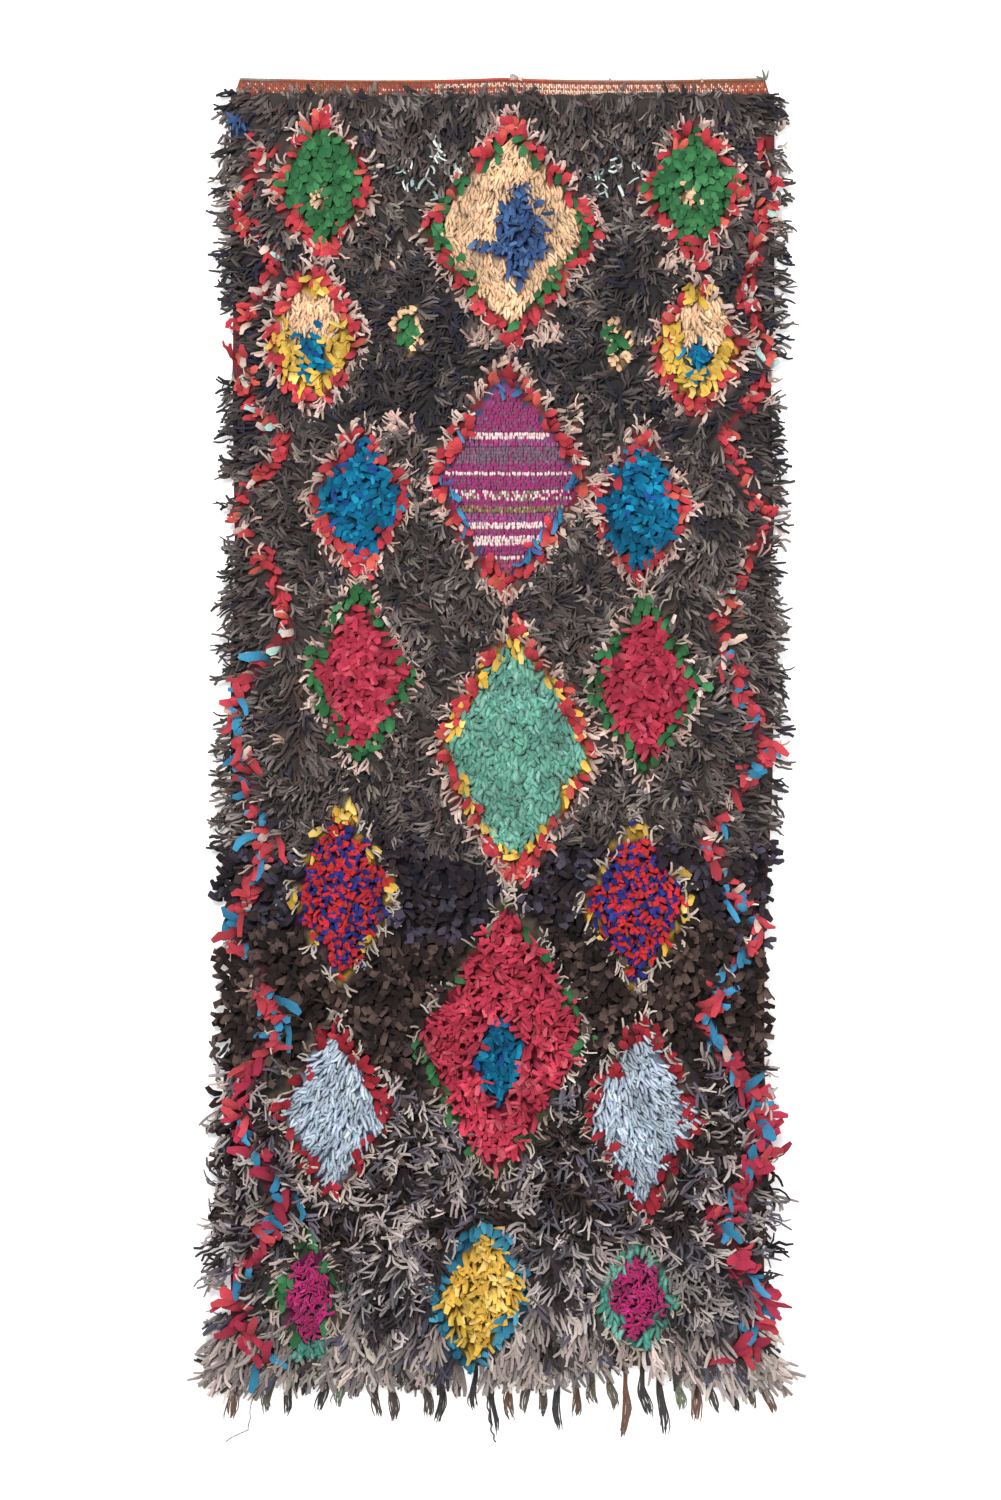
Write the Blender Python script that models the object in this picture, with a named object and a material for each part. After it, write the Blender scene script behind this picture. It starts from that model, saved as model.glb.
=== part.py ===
"""A boucherouite rug lying flat: a woven ground cloth, its rag pile and its warp fringe.

X runs across the rug, +Y points to the hemmed heading and +Z up from the floor. The origin is on
the floor, at the middle of the rug's box.
"""

import random

import bmesh
import bpy
from mathutils import Vector, noise

# Driving dimensions, in metres
RUG_WIDTH = 1.120
RUG_LENGTH = 2.600
CLOTH_WIDTH = 1.030
CLOTH_THICK = 0.003
FRINGE_LENGTH = 0.150
HEADING_LENGTH = 0.030
CLEARANCE = 0.0003

# The ground cloth's outline and the rolled hem on its heading
EDGE_WAVE = 0.005
EDGE_WAVE_LENGTH = 0.60
OUTLINE_STEPS = 24
CORNER_LENGTH = 0.050
CORNER_DRAW_IN = 0.014
HEADING_SAG = 0.006
HEM_RADIUS = 0.0029
HEM_CLEAR_OF_FLOOR = 0.0004

# The pile: a slab of rag tufts, taller and looser towards the fringe
PILE_COLUMNS = 28
PILE_ROWS = 64
PILE_OVERHANG = 0.005
PILE_AT_HEADING = 0.024
PILE_AT_FRINGE = 0.026
RIM_ROUNDING = 0.045
RIM_HEIGHT_SHARE = 0.70
LUMP_HEIGHT = 0.008
LUMP_LENGTH = 0.110
TUFT_HEIGHT = 0.015
TUFT_LENGTH = 0.047

# The lozenge of short looped yarn, which lies lower than the rags round it
FLAT_LOZENGE_CENTRE = (0.010, 0.535)
FLAT_LOZENGE_HALF = (0.135, 0.205)
FLAT_LOZENGE_DEPTH = 0.008
FLAT_LOZENGE_SLOPE = 0.25

# Locks of rag that stand out from the pile's rim. Width and thickness are shares of their root's.
LOCK_SEED = 7
LOCK_RINGS = (
    {"along": 0.30, "width": 0.70, "thick": 0.72},
    {"along": 0.68, "width": 0.50, "thick": 0.40},
    {"along": 1.00, "width": 0.20, "thick": 0.15},
)
HEADING_LOCK_REACH = 0.015
FRINGE_LOCK_REACH = 0.042
SHORTEST_LOCK = 0.50
LOCK_SWAY = 0.012

# Tassels of knotted warp ends, in metres, lying level on the floor
TASSEL_SEED = 11
TASSEL_COUNT = 32
STRIP_WIDTH = 0.008
TASSEL_ROOT_WIDTH = 0.008
TASSEL_RINGS = (
    {"along": 0.25, "width": 0.0050, "thick": 0.0030},
    {"along": 0.46, "width": 0.0060, "thick": 0.0030},
    {"along": 0.62, "width": 0.0140, "thick": 0.0055},
    {"along": 0.82, "width": 0.0120, "thick": 0.0045},
    {"along": 1.00, "width": 0.0045, "thick": 0.0015},
)
SHORTEST_TASSEL = 0.74
TASSEL_SPREAD = 0.045
TASSEL_SWAY = 0.007

# Places along Y that the pieces share
CLOTH_TOP = RUG_LENGTH / 2 - HEM_RADIUS
CLOTH_BOTTOM = -RUG_LENGTH / 2 + FRINGE_LENGTH
PILE_TOP = CLOTH_TOP - HEADING_LENGTH
PILE_BOTTOM = CLOTH_BOTTOM - PILE_OVERHANG
PILE_UNDERSIDE = CLOTH_THICK + CLEARANCE


def blend(low, high, share):
    """The value that lies at a share of the way from low to high."""
    return low + (high - low) * share


def smooth_step(share):
    """A share from 0 to 1, eased at both ends."""
    share = min(1.0, max(0.0, share))
    return share * share * (3 - 2 * share)


def cloth_edge(y, side):
    """X of the ground cloth's selvedge at y. Side is -1 on the left and 1 on the right."""
    wave = EDGE_WAVE * noise.noise(Vector((y / EDGE_WAVE_LENGTH, 3.7 * side, 0.0)))
    near_corner = smooth_step((y - (CLOTH_TOP - CORNER_LENGTH)) / CORNER_LENGTH)
    return side * (CLOTH_WIDTH / 2 + wave - CORNER_DRAW_IN * near_corner)


def heading_edge(x):
    """Y of the heading's edge, which sags a little between its middle and its corners."""
    share = abs(x) / (CLOTH_WIDTH / 2)
    return CLOTH_TOP - HEADING_SAG * 4 * share * (1 - share) * (1 - 0.4 * share)


def new_material(name, colour, roughness):
    """A plain cloth material."""
    material = bpy.data.materials.new(name)
    material.use_nodes = True
    shader = material.node_tree.nodes["Principled BSDF"]
    shader.inputs["Base Color"].default_value = (*colour, 1.0)
    shader.inputs["Roughness"].default_value = roughness
    shader.inputs["Metallic"].default_value = 0.0
    return material


def add_object(name, data, material, collection):
    """Link one named sub-part into the rug's collection."""
    part = bpy.data.objects.new(name, data)
    part.data.materials.append(material)
    collection.objects.link(part)
    return part


def curve_as_mesh(name, curve, height):
    """The closed mesh of a curve that is lifted to a height, with its caps welded on."""
    holder = bpy.data.objects.new(name, curve)
    bpy.context.scene.collection.objects.link(holder)
    graph = bpy.context.evaluated_depsgraph_get()
    mesh = bpy.data.meshes.new_from_object(holder.evaluated_get(graph))
    bpy.data.objects.remove(holder)
    bm = bmesh.new()
    bm.from_mesh(mesh)
    bmesh.ops.remove_doubles(bm, verts=bm.verts, dist=0.00001)
    bmesh.ops.translate(bm, verts=bm.verts, vec=(0.0, 0.0, height))
    bm.to_mesh(mesh)
    bm.free()
    return mesh


def poly_curve(name, points, closed, dimensions):
    """A curve of one straight-sided spline through the points."""
    curve = bpy.data.curves.new(name, "CURVE")
    curve.dimensions = dimensions
    spline = curve.splines.new("POLY")
    spline.points.add(len(points) - 1)
    for spline_point, point in zip(spline.points, points):
        spline_point.co = (*point, 0.0, 1.0)
    spline.use_cyclic_u = closed
    return curve


def selvedge_points(side):
    """The cloth's selvedge from the fringe end up to the heading."""
    heights = [
        blend(CLOTH_BOTTOM, CLOTH_TOP - CORNER_LENGTH, step / OUTLINE_STEPS)
        for step in range(OUTLINE_STEPS + 1)
    ]
    heights += [CLOTH_TOP - CORNER_LENGTH * share for share in (0.66, 0.33)]
    return [(cloth_edge(y, side), y) for y in heights]


def heading_points():
    """The heading's edge from left to right."""
    left = cloth_edge(CLOTH_TOP, -1)
    right = cloth_edge(CLOTH_TOP, 1)
    stations = [blend(left, right, step / OUTLINE_STEPS) for step in range(OUTLINE_STEPS + 1)]
    return [(x, heading_edge(x)) for x in stations]


def make_ground_cloth(collection):
    """The woven sheet that the rags are knotted to, with a rolled hem along its heading."""
    outline = selvedge_points(-1) + heading_points() + selvedge_points(1)[::-1]
    sheet = poly_curve("cloth_outline", outline, True, "2D")
    sheet.fill_mode = "BOTH"
    sheet.extrude = CLOTH_THICK / 2
    cloth = add_object(
        "ground_cloth",
        curve_as_mesh("cloth_sheet", sheet, CLOTH_THICK / 2),
        new_material("woven_orange", (0.62, 0.24, 0.13), 0.85),
        collection,
    )

    roll = poly_curve("hem_line", heading_points(), False, "3D")
    roll.bevel_depth = HEM_RADIUS
    roll.bevel_resolution = 2
    roll.use_fill_caps = True
    hem = bpy.data.objects.new(
        "hem_roll", curve_as_mesh("hem_roll", roll, HEM_RADIUS + HEM_CLEAR_OF_FLOOR)
    )
    hem.hide_render = True
    hem.display_type = "WIRE"
    guides = bpy.data.collections.new("guides")
    bpy.context.scene.collection.children.link(guides)
    guides.objects.link(hem)

    joined = cloth.modifiers.new("hem", "BOOLEAN")
    joined.operation = "UNION"
    joined.object = hem
    return cloth


def flat_lozenge_share(x, y):
    """1 inside the lozenge of short loops and 0 outside it, with a slope between."""
    out = abs(x - FLAT_LOZENGE_CENTRE[0]) / FLAT_LOZENGE_HALF[0]
    out += abs(y - FLAT_LOZENGE_CENTRE[1]) / FLAT_LOZENGE_HALF[1]
    return smooth_step((1 - out) / FLAT_LOZENGE_SLOPE)


def pile_height(x, y, to_rim):
    """The pile's height above its underside, with its lumps, at a distance from its rim."""
    along = (y - PILE_BOTTOM) / (PILE_TOP - PILE_BOTTOM)
    height = blend(PILE_AT_FRINGE, PILE_AT_HEADING, along)
    height -= FLAT_LOZENGE_DEPTH * flat_lozenge_share(x, y)
    height += LUMP_HEIGHT * noise.noise(Vector((x / LUMP_LENGTH, y / LUMP_LENGTH, 0.5)))
    height += TUFT_HEIGHT * noise.noise(Vector((x / TUFT_LENGTH, y / TUFT_LENGTH, 8.5)))
    return height * blend(RIM_HEIGHT_SHARE, 1.0, smooth_step(to_rim / RIM_ROUNDING))


def shape_pile_top(bm):
    """Move a flat grid's points, which run from -1 to 1, to the pile's lumpy top."""
    for vert in bm.verts:
        across = (vert.co.x + 1) / 2
        along = (vert.co.y + 1) / 2
        y = blend(PILE_BOTTOM, PILE_TOP, along)
        left = cloth_edge(y, -1) - PILE_OVERHANG
        right = cloth_edge(y, 1) + PILE_OVERHANG
        x = blend(left, right, across)
        y -= along * (CLOTH_TOP - heading_edge(x))
        to_rim = min(x - left, right - x, y - PILE_BOTTOM, PILE_TOP - y)
        vert.co = (x, y, PILE_UNDERSIDE + pile_height(x, y, max(0.0, to_rim)))


def close_below(bm):
    """Drop a wall from the open rim to the pile's underside and close it. Returns the wall."""
    rim = [edge for edge in bm.edges if edge.is_boundary]
    drawn = bmesh.ops.extrude_edge_only(bm, edges=rim)["geom"]
    foot_points = [item for item in drawn if isinstance(item, bmesh.types.BMVert)]
    foot_edges = [item for item in drawn if isinstance(item, bmesh.types.BMEdge)]
    wall = [item for item in drawn if isinstance(item, bmesh.types.BMFace)]
    for vert in foot_points:
        vert.co.z = PILE_UNDERSIDE
    foot_edges = [edge for edge in foot_edges if edge.is_boundary]
    bmesh.ops.contextual_create(bm, geom=foot_edges)
    bmesh.ops.recalc_face_normals(bm, faces=bm.faces)
    return wall


def grow(bm, face, across, rings):
    """Draw a strand out of a four-sided face, through rings of (middle, width, thickness)."""
    middle = face.calc_center_median()
    for centre, width, thick in rings:
        face = bmesh.ops.extrude_discrete_faces(bm, faces=[face])["faces"][0]
        for vert in face.verts:
            from_middle = vert.co - middle
            sideways = 0.5 if from_middle.dot(across) > 0 else -0.5
            upwards = 0.5 if from_middle.z > 0 else -0.5
            vert.co = centre + across * (sideways * width) + Vector((0, 0, upwards * thick))
        middle = centre


def lock_rings(root, size, out, reach, sway, floor):
    """The rings of a lock that leaves its root, droops and comes to lie on a floor."""
    rings = []
    for ring in LOCK_RINGS:
        width = size[0] * ring["width"]
        thick = size[1] * ring["thick"]
        centre = root + out * (reach * ring["along"]) + sway * ring["along"] ** 2
        centre.z = max(blend(root.z, floor, ring["along"]), floor + thick / 2)
        rings.append((centre, width, thick))
    return rings


def grow_locks(bm, wall):
    """One lock of rag on each face of the pile's wall, pointing away from the rug."""
    chance = random.Random(LOCK_SEED)
    for face in sorted(wall, key=lambda item: item.calc_center_median()[:2]):
        root = face.calc_center_median()
        low = min(vert.co.z for vert in face.verts)
        high = max(vert.co.z for vert in face.verts)
        out = Vector(face.normal)
        share = min(1.0, chance.uniform(SHORTEST_LOCK, 1.25))
        swing = LOCK_SWAY * chance.uniform(-0.8, 0.4)
        if abs(out.x) > abs(out.y):
            out = Vector((1.0 if out.x > 0 else -1.0, 0.0, 0.0))
            reach = (RUG_WIDTH / 2 - abs(root.x)) * share
            sway = Vector((0.0, swing, 0.0))
            floor = 0.0
        else:
            at_heading = out.y > 0
            out = Vector((0.0, 1.0 if at_heading else -1.0, 0.0))
            reach = (HEADING_LOCK_REACH if at_heading else FRINGE_LOCK_REACH) * share
            sway = Vector((swing + LOCK_SWAY * root.x / CLOTH_WIDTH, 0.0, 0.0))
            floor = PILE_UNDERSIDE + 2 * CLEARANCE
        across = Vector((-out.y, out.x, 0.0))
        spans = [vert.co.dot(across) for vert in face.verts]
        size = (max(spans) - min(spans), high - low)
        grow(bm, face, across, lock_rings(root, size, out, reach, sway, floor))


def make_pile(collection):
    """The lumpy slab of rag tufts that lies on the cloth, with locks round its rim."""
    bm = bmesh.new()
    bmesh.ops.create_grid(bm, x_segments=PILE_COLUMNS, y_segments=PILE_ROWS, size=1.0)
    shape_pile_top(bm)
    wall = close_below(bm)
    grow_locks(bm, wall)
    mesh = bpy.data.meshes.new("pile")
    bm.to_mesh(mesh)
    bm.free()
    mesh.shade_smooth()
    return add_object(
        "pile", mesh, new_material("charcoal_rag", (0.060, 0.055, 0.055), 0.95), collection
    )


def tassel_stations():
    """X of each side of each tassel's root, from left to right, with the strip's two ends."""
    left = cloth_edge(CLOTH_BOTTOM, -1)
    right = cloth_edge(CLOTH_BOTTOM, 1)
    pitch = (right - left) / TASSEL_COUNT
    middles = [left + pitch * (number + 0.5) for number in range(TASSEL_COUNT)]
    sides = [middle + TASSEL_ROOT_WIDTH * half for middle in middles for half in (-0.5, 0.5)]
    return [left, *sides, right]


def grow_tassels(bm, strip_edge):
    """A tassel of knotted warp ends out of every second face along the strip's outer side."""
    chance = random.Random(TASSEL_SEED)
    outer = [face for face in bm.faces if face.normal.y < -0.9]
    outer.sort(key=lambda face: face.calc_center_median().x)
    for face in outer[1::2]:
        root = face.calc_center_median()
        share = min(1.0, chance.uniform(SHORTEST_TASSEL, 1.04))
        reach = (strip_edge + RUG_LENGTH / 2) * share
        spread = TASSEL_SPREAD * (2 * root.x / CLOTH_WIDTH) ** 3
        sway = spread + TASSEL_SWAY * chance.uniform(-1, 1)
        rings = []
        for ring in TASSEL_RINGS:
            limit = RUG_WIDTH / 2 - ring["width"] / 2
            x = min(limit, max(-limit, root.x + sway * ring["along"] ** 1.5))
            centre = Vector((x, root.y - reach * ring["along"], ring["thick"] / 2))
            rings.append((centre, ring["width"], ring["thick"]))
        grow(bm, face, Vector((1.0, 0.0, 0.0)), rings)


def make_fringe(collection):
    """The warp ends below the cloth: a narrow strip, and the tassels that leave it."""
    stations = tassel_stations()
    inner_edge = CLOTH_BOTTOM - CLEARANCE
    strip_edge = inner_edge - STRIP_WIDTH
    bm = bmesh.new()
    bmesh.ops.create_grid(bm, x_segments=len(stations) - 1, y_segments=1, size=1.0)
    columns = sorted({round(vert.co.x, 5) for vert in bm.verts})
    place = dict(zip(columns, stations))
    for vert in bm.verts:
        vert.co = (
            place[round(vert.co.x, 5)],
            inner_edge if vert.co.y > 0 else strip_edge,
            CLOTH_THICK,
        )
    sheet = bmesh.ops.extrude_face_region(bm, geom=list(bm.faces))["geom"]
    lower = [item for item in sheet if isinstance(item, bmesh.types.BMVert)]
    bmesh.ops.translate(bm, verts=lower, vec=(0.0, 0.0, -CLOTH_THICK))
    bmesh.ops.recalc_face_normals(bm, faces=bm.faces)
    grow_tassels(bm, strip_edge)
    mesh = bpy.data.meshes.new("warp_fringe")
    bm.to_mesh(mesh)
    bm.free()
    return add_object(
        "warp_fringe", mesh, new_material("warp_yarn", (0.20, 0.17, 0.14), 0.9), collection
    )


def main():
    """Clear the scene and lay out the rug."""
    for old in list(bpy.data.objects):
        bpy.data.objects.remove(old)
    rug = bpy.data.collections.new("boucherouite_rug")
    bpy.context.scene.collection.children.link(rug)
    make_ground_cloth(rug)
    make_pile(rug)
    make_fringe(rug)


main()
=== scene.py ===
# %% [markdown]
# # A boucherouite rug
#
# This rug is made of rags. A weaver cuts worn clothes into strips, knots them row by row into a
# woven ground cloth and leaves their ends standing up as a pile. Nothing is printed: every colour
# is a knot of its own, so the picture is made the same way here, knot by knot.
#
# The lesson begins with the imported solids. They give the rug's place and size, and each piece
# that follows stands for one of them.

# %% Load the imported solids
import math

import bmesh
import bpy
import numpy as np
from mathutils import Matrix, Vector, noise
from mathutils.bvhtree import BVHTree


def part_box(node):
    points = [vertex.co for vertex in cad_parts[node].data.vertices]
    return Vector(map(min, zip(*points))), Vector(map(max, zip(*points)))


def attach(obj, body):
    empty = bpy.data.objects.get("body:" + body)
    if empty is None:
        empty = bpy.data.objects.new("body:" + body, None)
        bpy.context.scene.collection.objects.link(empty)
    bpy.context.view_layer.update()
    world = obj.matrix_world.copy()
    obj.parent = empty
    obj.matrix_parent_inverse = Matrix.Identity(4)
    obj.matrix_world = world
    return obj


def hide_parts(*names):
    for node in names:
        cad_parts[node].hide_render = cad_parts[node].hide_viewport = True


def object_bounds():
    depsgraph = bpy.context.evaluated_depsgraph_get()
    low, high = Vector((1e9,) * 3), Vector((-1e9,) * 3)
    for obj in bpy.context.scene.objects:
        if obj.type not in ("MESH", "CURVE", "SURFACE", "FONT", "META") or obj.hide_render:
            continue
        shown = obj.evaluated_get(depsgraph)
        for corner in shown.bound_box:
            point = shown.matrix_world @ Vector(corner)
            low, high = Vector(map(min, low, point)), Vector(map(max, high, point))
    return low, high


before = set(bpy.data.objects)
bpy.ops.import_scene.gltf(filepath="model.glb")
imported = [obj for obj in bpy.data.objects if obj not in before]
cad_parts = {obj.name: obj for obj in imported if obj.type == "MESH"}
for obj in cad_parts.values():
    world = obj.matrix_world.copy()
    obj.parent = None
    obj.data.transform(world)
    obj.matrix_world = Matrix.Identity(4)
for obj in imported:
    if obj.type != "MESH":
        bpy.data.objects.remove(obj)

solid_low, solid_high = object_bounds()
cloth_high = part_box("ground_cloth")[1]
fringe_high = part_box("warp_fringe")[1]
print("solids reach", [round(side, 3) for side in solid_high - solid_low])

# %% [markdown]
# ## Camera, floor and light
#
# The rug is seen from straight above. A long lens keeps its far ends from leaning, as a
# photographer on a gantry would. The floor is nearly white, and one broad lamp over the heading
# gives soft shadows that fall between the tufts and tell how deep the pile is.

# %% Place the camera
SEEN_LENGTH = 2.851         # metres of floor along the picture's long side
SEEN_CENTRE = (-0.004, 0.017)
PILE_FACE = 0.028           # height at which the pile is in scale
LENS = 85.0                 # millimetres
LONG_SIDE = 36.0            # millimetres of film along the picture's long side

camera_data = bpy.data.cameras.new("camera")
camera_data.lens = LENS
camera_data.sensor_width = LONG_SIDE
camera_data.clip_end = 50.0
camera = bpy.data.objects.new("camera", camera_data)
camera.location = (*SEEN_CENTRE, PILE_FACE + SEEN_LENGTH * LENS / LONG_SIDE)
bpy.context.scene.collection.objects.link(camera)
bpy.context.scene.camera = camera
print("camera height", round(camera.location.z, 2))

# %% Lay the floor and hang the lamps
FLOOR_HALF = 9.0
FLOOR_GLOW = 0.30           # lifts the paper to a plain white
SKY_LIGHT = 0.72
WHITE = (1.0, 1.0, 1.0, 1.0)


def plain_material(name, colour, roughness):
    """A Principled material of one colour."""
    material = bpy.data.materials.new(name)
    material.use_nodes = True
    shader = material.node_tree.nodes["Principled BSDF"]
    shader.inputs["Base Color"].default_value = (*colour, 1.0)
    shader.inputs["Roughness"].default_value = roughness
    return material


def mesh_from(bm, name):
    """A mesh of what bm holds, which is then let go."""
    mesh = bpy.data.meshes.new(name)
    bm.to_mesh(mesh)
    bm.free()
    return mesh


def add_piece(name, mesh, material):
    """Link a finished mesh, whose place is in its points."""
    piece = bpy.data.objects.new(name, mesh)
    mesh.materials.append(material)
    bpy.context.scene.collection.objects.link(piece)
    return piece


bm = bmesh.new()
bmesh.ops.create_grid(bm, x_segments=1, y_segments=1, size=FLOOR_HALF)
floor = add_piece("floor", mesh_from(bm, "floor"), plain_material("floor_paper", (0.90, 0.90, 0.90), 0.9))
floor_shader = floor.data.materials[0].node_tree.nodes["Principled BSDF"]
floor_shader.inputs["Emission Color"].default_value = WHITE
floor_shader.inputs["Emission Strength"].default_value = FLOOR_GLOW


def add_lamp(name, place, size, watts):
    """A square area lamp that looks at the rug's middle."""
    lamp_data = bpy.data.lights.new(name, "AREA")
    lamp_data.size = size
    lamp_data.energy = watts
    lamp = bpy.data.objects.new(name, lamp_data)
    lamp.location = place
    lamp.rotation_euler = (-Vector(place)).to_track_quat("-Z", "Y").to_euler()
    bpy.context.scene.collection.objects.link(lamp)


add_lamp("main_lamp", (-1.4, 2.6, 5.0), 1.6, 265.0)
add_lamp("fill_lamp", (3.0, -2.6, 4.6), 2.6, 110.0)
world = bpy.data.worlds.new("studio")
world.use_nodes = True
sky = world.node_tree.nodes["Background"]
sky.inputs["Color"].default_value = WHITE
sky.inputs["Strength"].default_value = SKY_LIGHT
bpy.context.scene.world = world
bpy.context.scene.view_settings.view_transform = "Standard"

# %% [markdown]
# ## Where the pile stands
#
# The solid called pile is a lumpy slab, and its top is the height that the tufts reach. A ray
# dropped on it from above reads that height, so the tufts swell and sink with the slab. The knots
# themselves sit lower, on a bed of packed rag that closes the gaps between the tufts; the bed is
# coloured darker than the knots, as painted shade low in the pile.

# %% Read the slab's height
BED_SHARE = 0.50            # how far up the slab the bed lies
CLOTH_TOP = 0.0033

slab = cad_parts["pile"]
slab_points = [vert.co for vert in slab.data.vertices]
slab_faces = [tuple(face.vertices) for face in slab.data.polygons]
slab_tree = BVHTree.FromPolygons(slab_points, slab_faces)


def slab_height(x, y):
    """Height of the slab's top at each point, or the cloth's where there is no slab."""
    heights = []
    for across, along in zip(x, y):
        hit = slab_tree.ray_cast(Vector((across, along, 1.0)), Vector((0.0, 0.0, -1.0)))[0]
        heights.append(hit.z if hit else CLOTH_TOP)
    return np.array(heights)


def bed_height(x, y):
    """Height of the bed of packed rag that the tufts stand in."""
    return CLOTH_TOP + BED_SHARE * np.maximum(0.0, slab_height(x, y) - CLOTH_TOP)


def wander(x, y, length, seed):
    """Smooth noise, about -1 to 1, that changes over a length."""
    return np.array([2 * noise.noise(Vector((a / length, b / length, seed))) for a, b in zip(x, y)])


def ease(share):
    """A share from 0 to 1, eased at both ends."""
    share = np.clip(share, 0.0, 1.0)
    return share * share * (3 - 2 * share)


# The slab without its locks: the ground that the knots fill
PILE_HALF = 0.536
PILE_TOP = float(cloth_high.y) - 0.033
PILE_BOTTOM = float(fringe_high.y) - 0.005

SIDES = (                   # height, and how far the left and the right side stand back there
    (1.240, 0.014, 0.011), (1.050, 0.003, 0.003), (0.830, 0.021, 0.015), (0.740, 0.017, 0.023),
    (0.550, 0.020, 0.021), (0.450, 0.022, 0.013), (0.360, 0.022, 0.029), (0.170, 0.013, 0.011),
    (-0.120, 0.004, 0.024), (-0.310, 0.006, 0.036), (-0.600, 0.000, 0.036), (-0.750, 0.000, 0.024),
    (-0.900, 0.000, 0.036), (-1.060, 0.000, 0.036), (-1.180, 0.000, 0.028),
)
FOOT = (                    # place across, and how far above the last row the knots stop there
    (0.10, 0.0), (0.20, 0.024), (0.28, 0.024), (0.36, 0.0),
)


def drawn_in(x, y):
    """How far the pile's side stands back at each point."""
    heights, left, right = np.array(SIDES[::-1]).T
    return np.where(x < 0, np.interp(y, heights, left), np.interp(y, heights, right))


def foot_line(x):
    """Y of the lowest knots: they stop a little higher right of the middle."""
    places, rise = np.array(FOOT).T
    return PILE_BOTTOM + np.interp(x, places, rise)


print("pile from", round(PILE_BOTTOM, 3), "to", round(PILE_TOP, 3))

# %% [markdown]
# ## The chart
#
# A weaver of these rugs knows the pattern by heart: rows of lozenges in layers of colour,
# and a zigzag down each side. The chart is kept as short tables of real sizes. Each lozenge has
# its middle, half its width and height, and its layers from the outside in. Some lean a little.
# Every knot asks the chart which bed of colour it stands in.

# %% Tabulate the field, the lozenges and the zigzags
KNOT_ROW = 0.017            # knots lie in rows, which gives slanting edges their steps

FIELD = (                   # from the heading down: each kind of field begins at its top edge
    {"top": 9.0, "bed": "charcoal"},
    {"top": 0.965, "bed": "charcoal_dark"},
    {"top": 0.600, "bed": "charcoal"},
    {"top": -0.165, "bed": "navy_black"},
    {"top": -0.340, "bed": "brown_black"},
    {"top": -0.570, "bed": "black_beige"},
    {"top": -0.930, "bed": "taupe_dark"},
    {"top": -1.060, "bed": "taupe"},
)
FIELD_BEDS = [*(stretch["bed"] for stretch in FIELD), "zigzag_pink", "pale_specks"]

# A layer is a bed, its width in metres and the share of its length that is there
LINED_RED = (("pink", 0.010, 0.95), ("red", 0.013, 1.0))
LAYERS = {
    "green": (*LINED_RED, ("green", 1.0, 1.0)),
    "peach": (("pink", 0.011, 0.95), ("red", 0.012, 0.92), ("green", 0.013, 1.0), ("peach", 1.0, 1.0)),
    "halved": (("pink", 0.011, 0.95), ("red", 0.012, 1.0), ("yellow", 1.0, 1.0)),
    "blue": (("pink", 0.012, 1.0), ("red", 0.012, 0.95), ("blue", 1.0, 1.0)),
    "looped": (("pink", 0.013, 1.0), ("red", 0.013, 1.0), ("mid_blue", 0.009, 0.90), ("looped", 1.0, 1.0)),
    "rose": (("pink", 0.010, 0.92), ("green", 0.013, 0.92), ("rose", 1.0, 1.0)),
    "teal": (("pink", 0.011, 0.95), ("red", 0.012, 1.0), ("yellow", 0.011, 1.0), ("teal", 1.0, 1.0)),
    "nubs": (("cream", 0.010, 0.70), ("yellow", 0.010, 0.62), ("nubs", 1.0, 1.0)),
    "crimson": (("cream", 0.010, 0.85), ("green", 0.010, 0.65), ("crimson", 1.0, 1.0)),
    "satin": (("cream", 0.010, 0.90), ("dark_red", 0.014, 1.0), ("satin", 1.0, 1.0)),
    "magenta_green": (("cream", 0.011, 0.80), ("green", 0.012, 0.90), ("magenta", 1.0, 1.0)),
    "yellow_sky": (("cream", 0.007, 0.60), ("sky_blue", 0.017, 1.0), ("yellow_strip", 1.0, 1.0)),
    "magenta_teal": (("cream", 0.011, 0.80), ("aqua", 0.015, 1.0), ("magenta", 1.0, 1.0)),
}
LOZENGE_COLUMNS = ("x", "y", "half_width", "half_height", "power", "layers", "lean")
LOZENGES = (
    (-0.343, 1.090, 0.112, 0.156, 1.12, "green"),
    (0.016, 1.004, 0.188, 0.238, 1.06, "peach"),
    (0.364, 1.081, 0.114, 0.154, 1.10, "green"),
    (-0.362, 0.799, 0.104, 0.156, 1.30, "halved"),
    (0.371, 0.781, 0.102, 0.144, 1.25, "halved"),
    (-0.273, 0.490, 0.111, 0.160, 1.18, "blue"),
    (0.261, 0.477, 0.106, 0.171, 1.20, "blue"),
    (0.010, 0.531, 0.168, 0.246, 1.12, "looped"),
    (-0.273, 0.157, 0.113, 0.191, 1.15, "rose"),
    (0.271, 0.138, 0.116, 0.192, 1.15, "rose"),
    (0.025, 0.013, 0.167, 0.266, 1.12, "teal"),
    (-0.305, -0.260, 0.111, 0.196, 1.12, "nubs"),
    (0.254, -0.277, 0.115, 0.177, 1.12, "nubs"),
    (-0.001, -0.538, 0.175, 0.291, 1.08, "crimson", 0.06),
    (-0.321, -0.669, 0.126, 0.198, 1.02, "satin"),
    (0.268, -0.682, 0.126, 0.219, 1.02, "satin"),
    (-0.368, -1.025, 0.076, 0.131, 1.30, "magenta_green"),
    (-0.042, -1.024, 0.107, 0.166, 1.20, "yellow_sky", 0.10),
    (0.256, -1.029, 0.089, 0.127, 1.25, "magenta_teal"),
)

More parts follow.
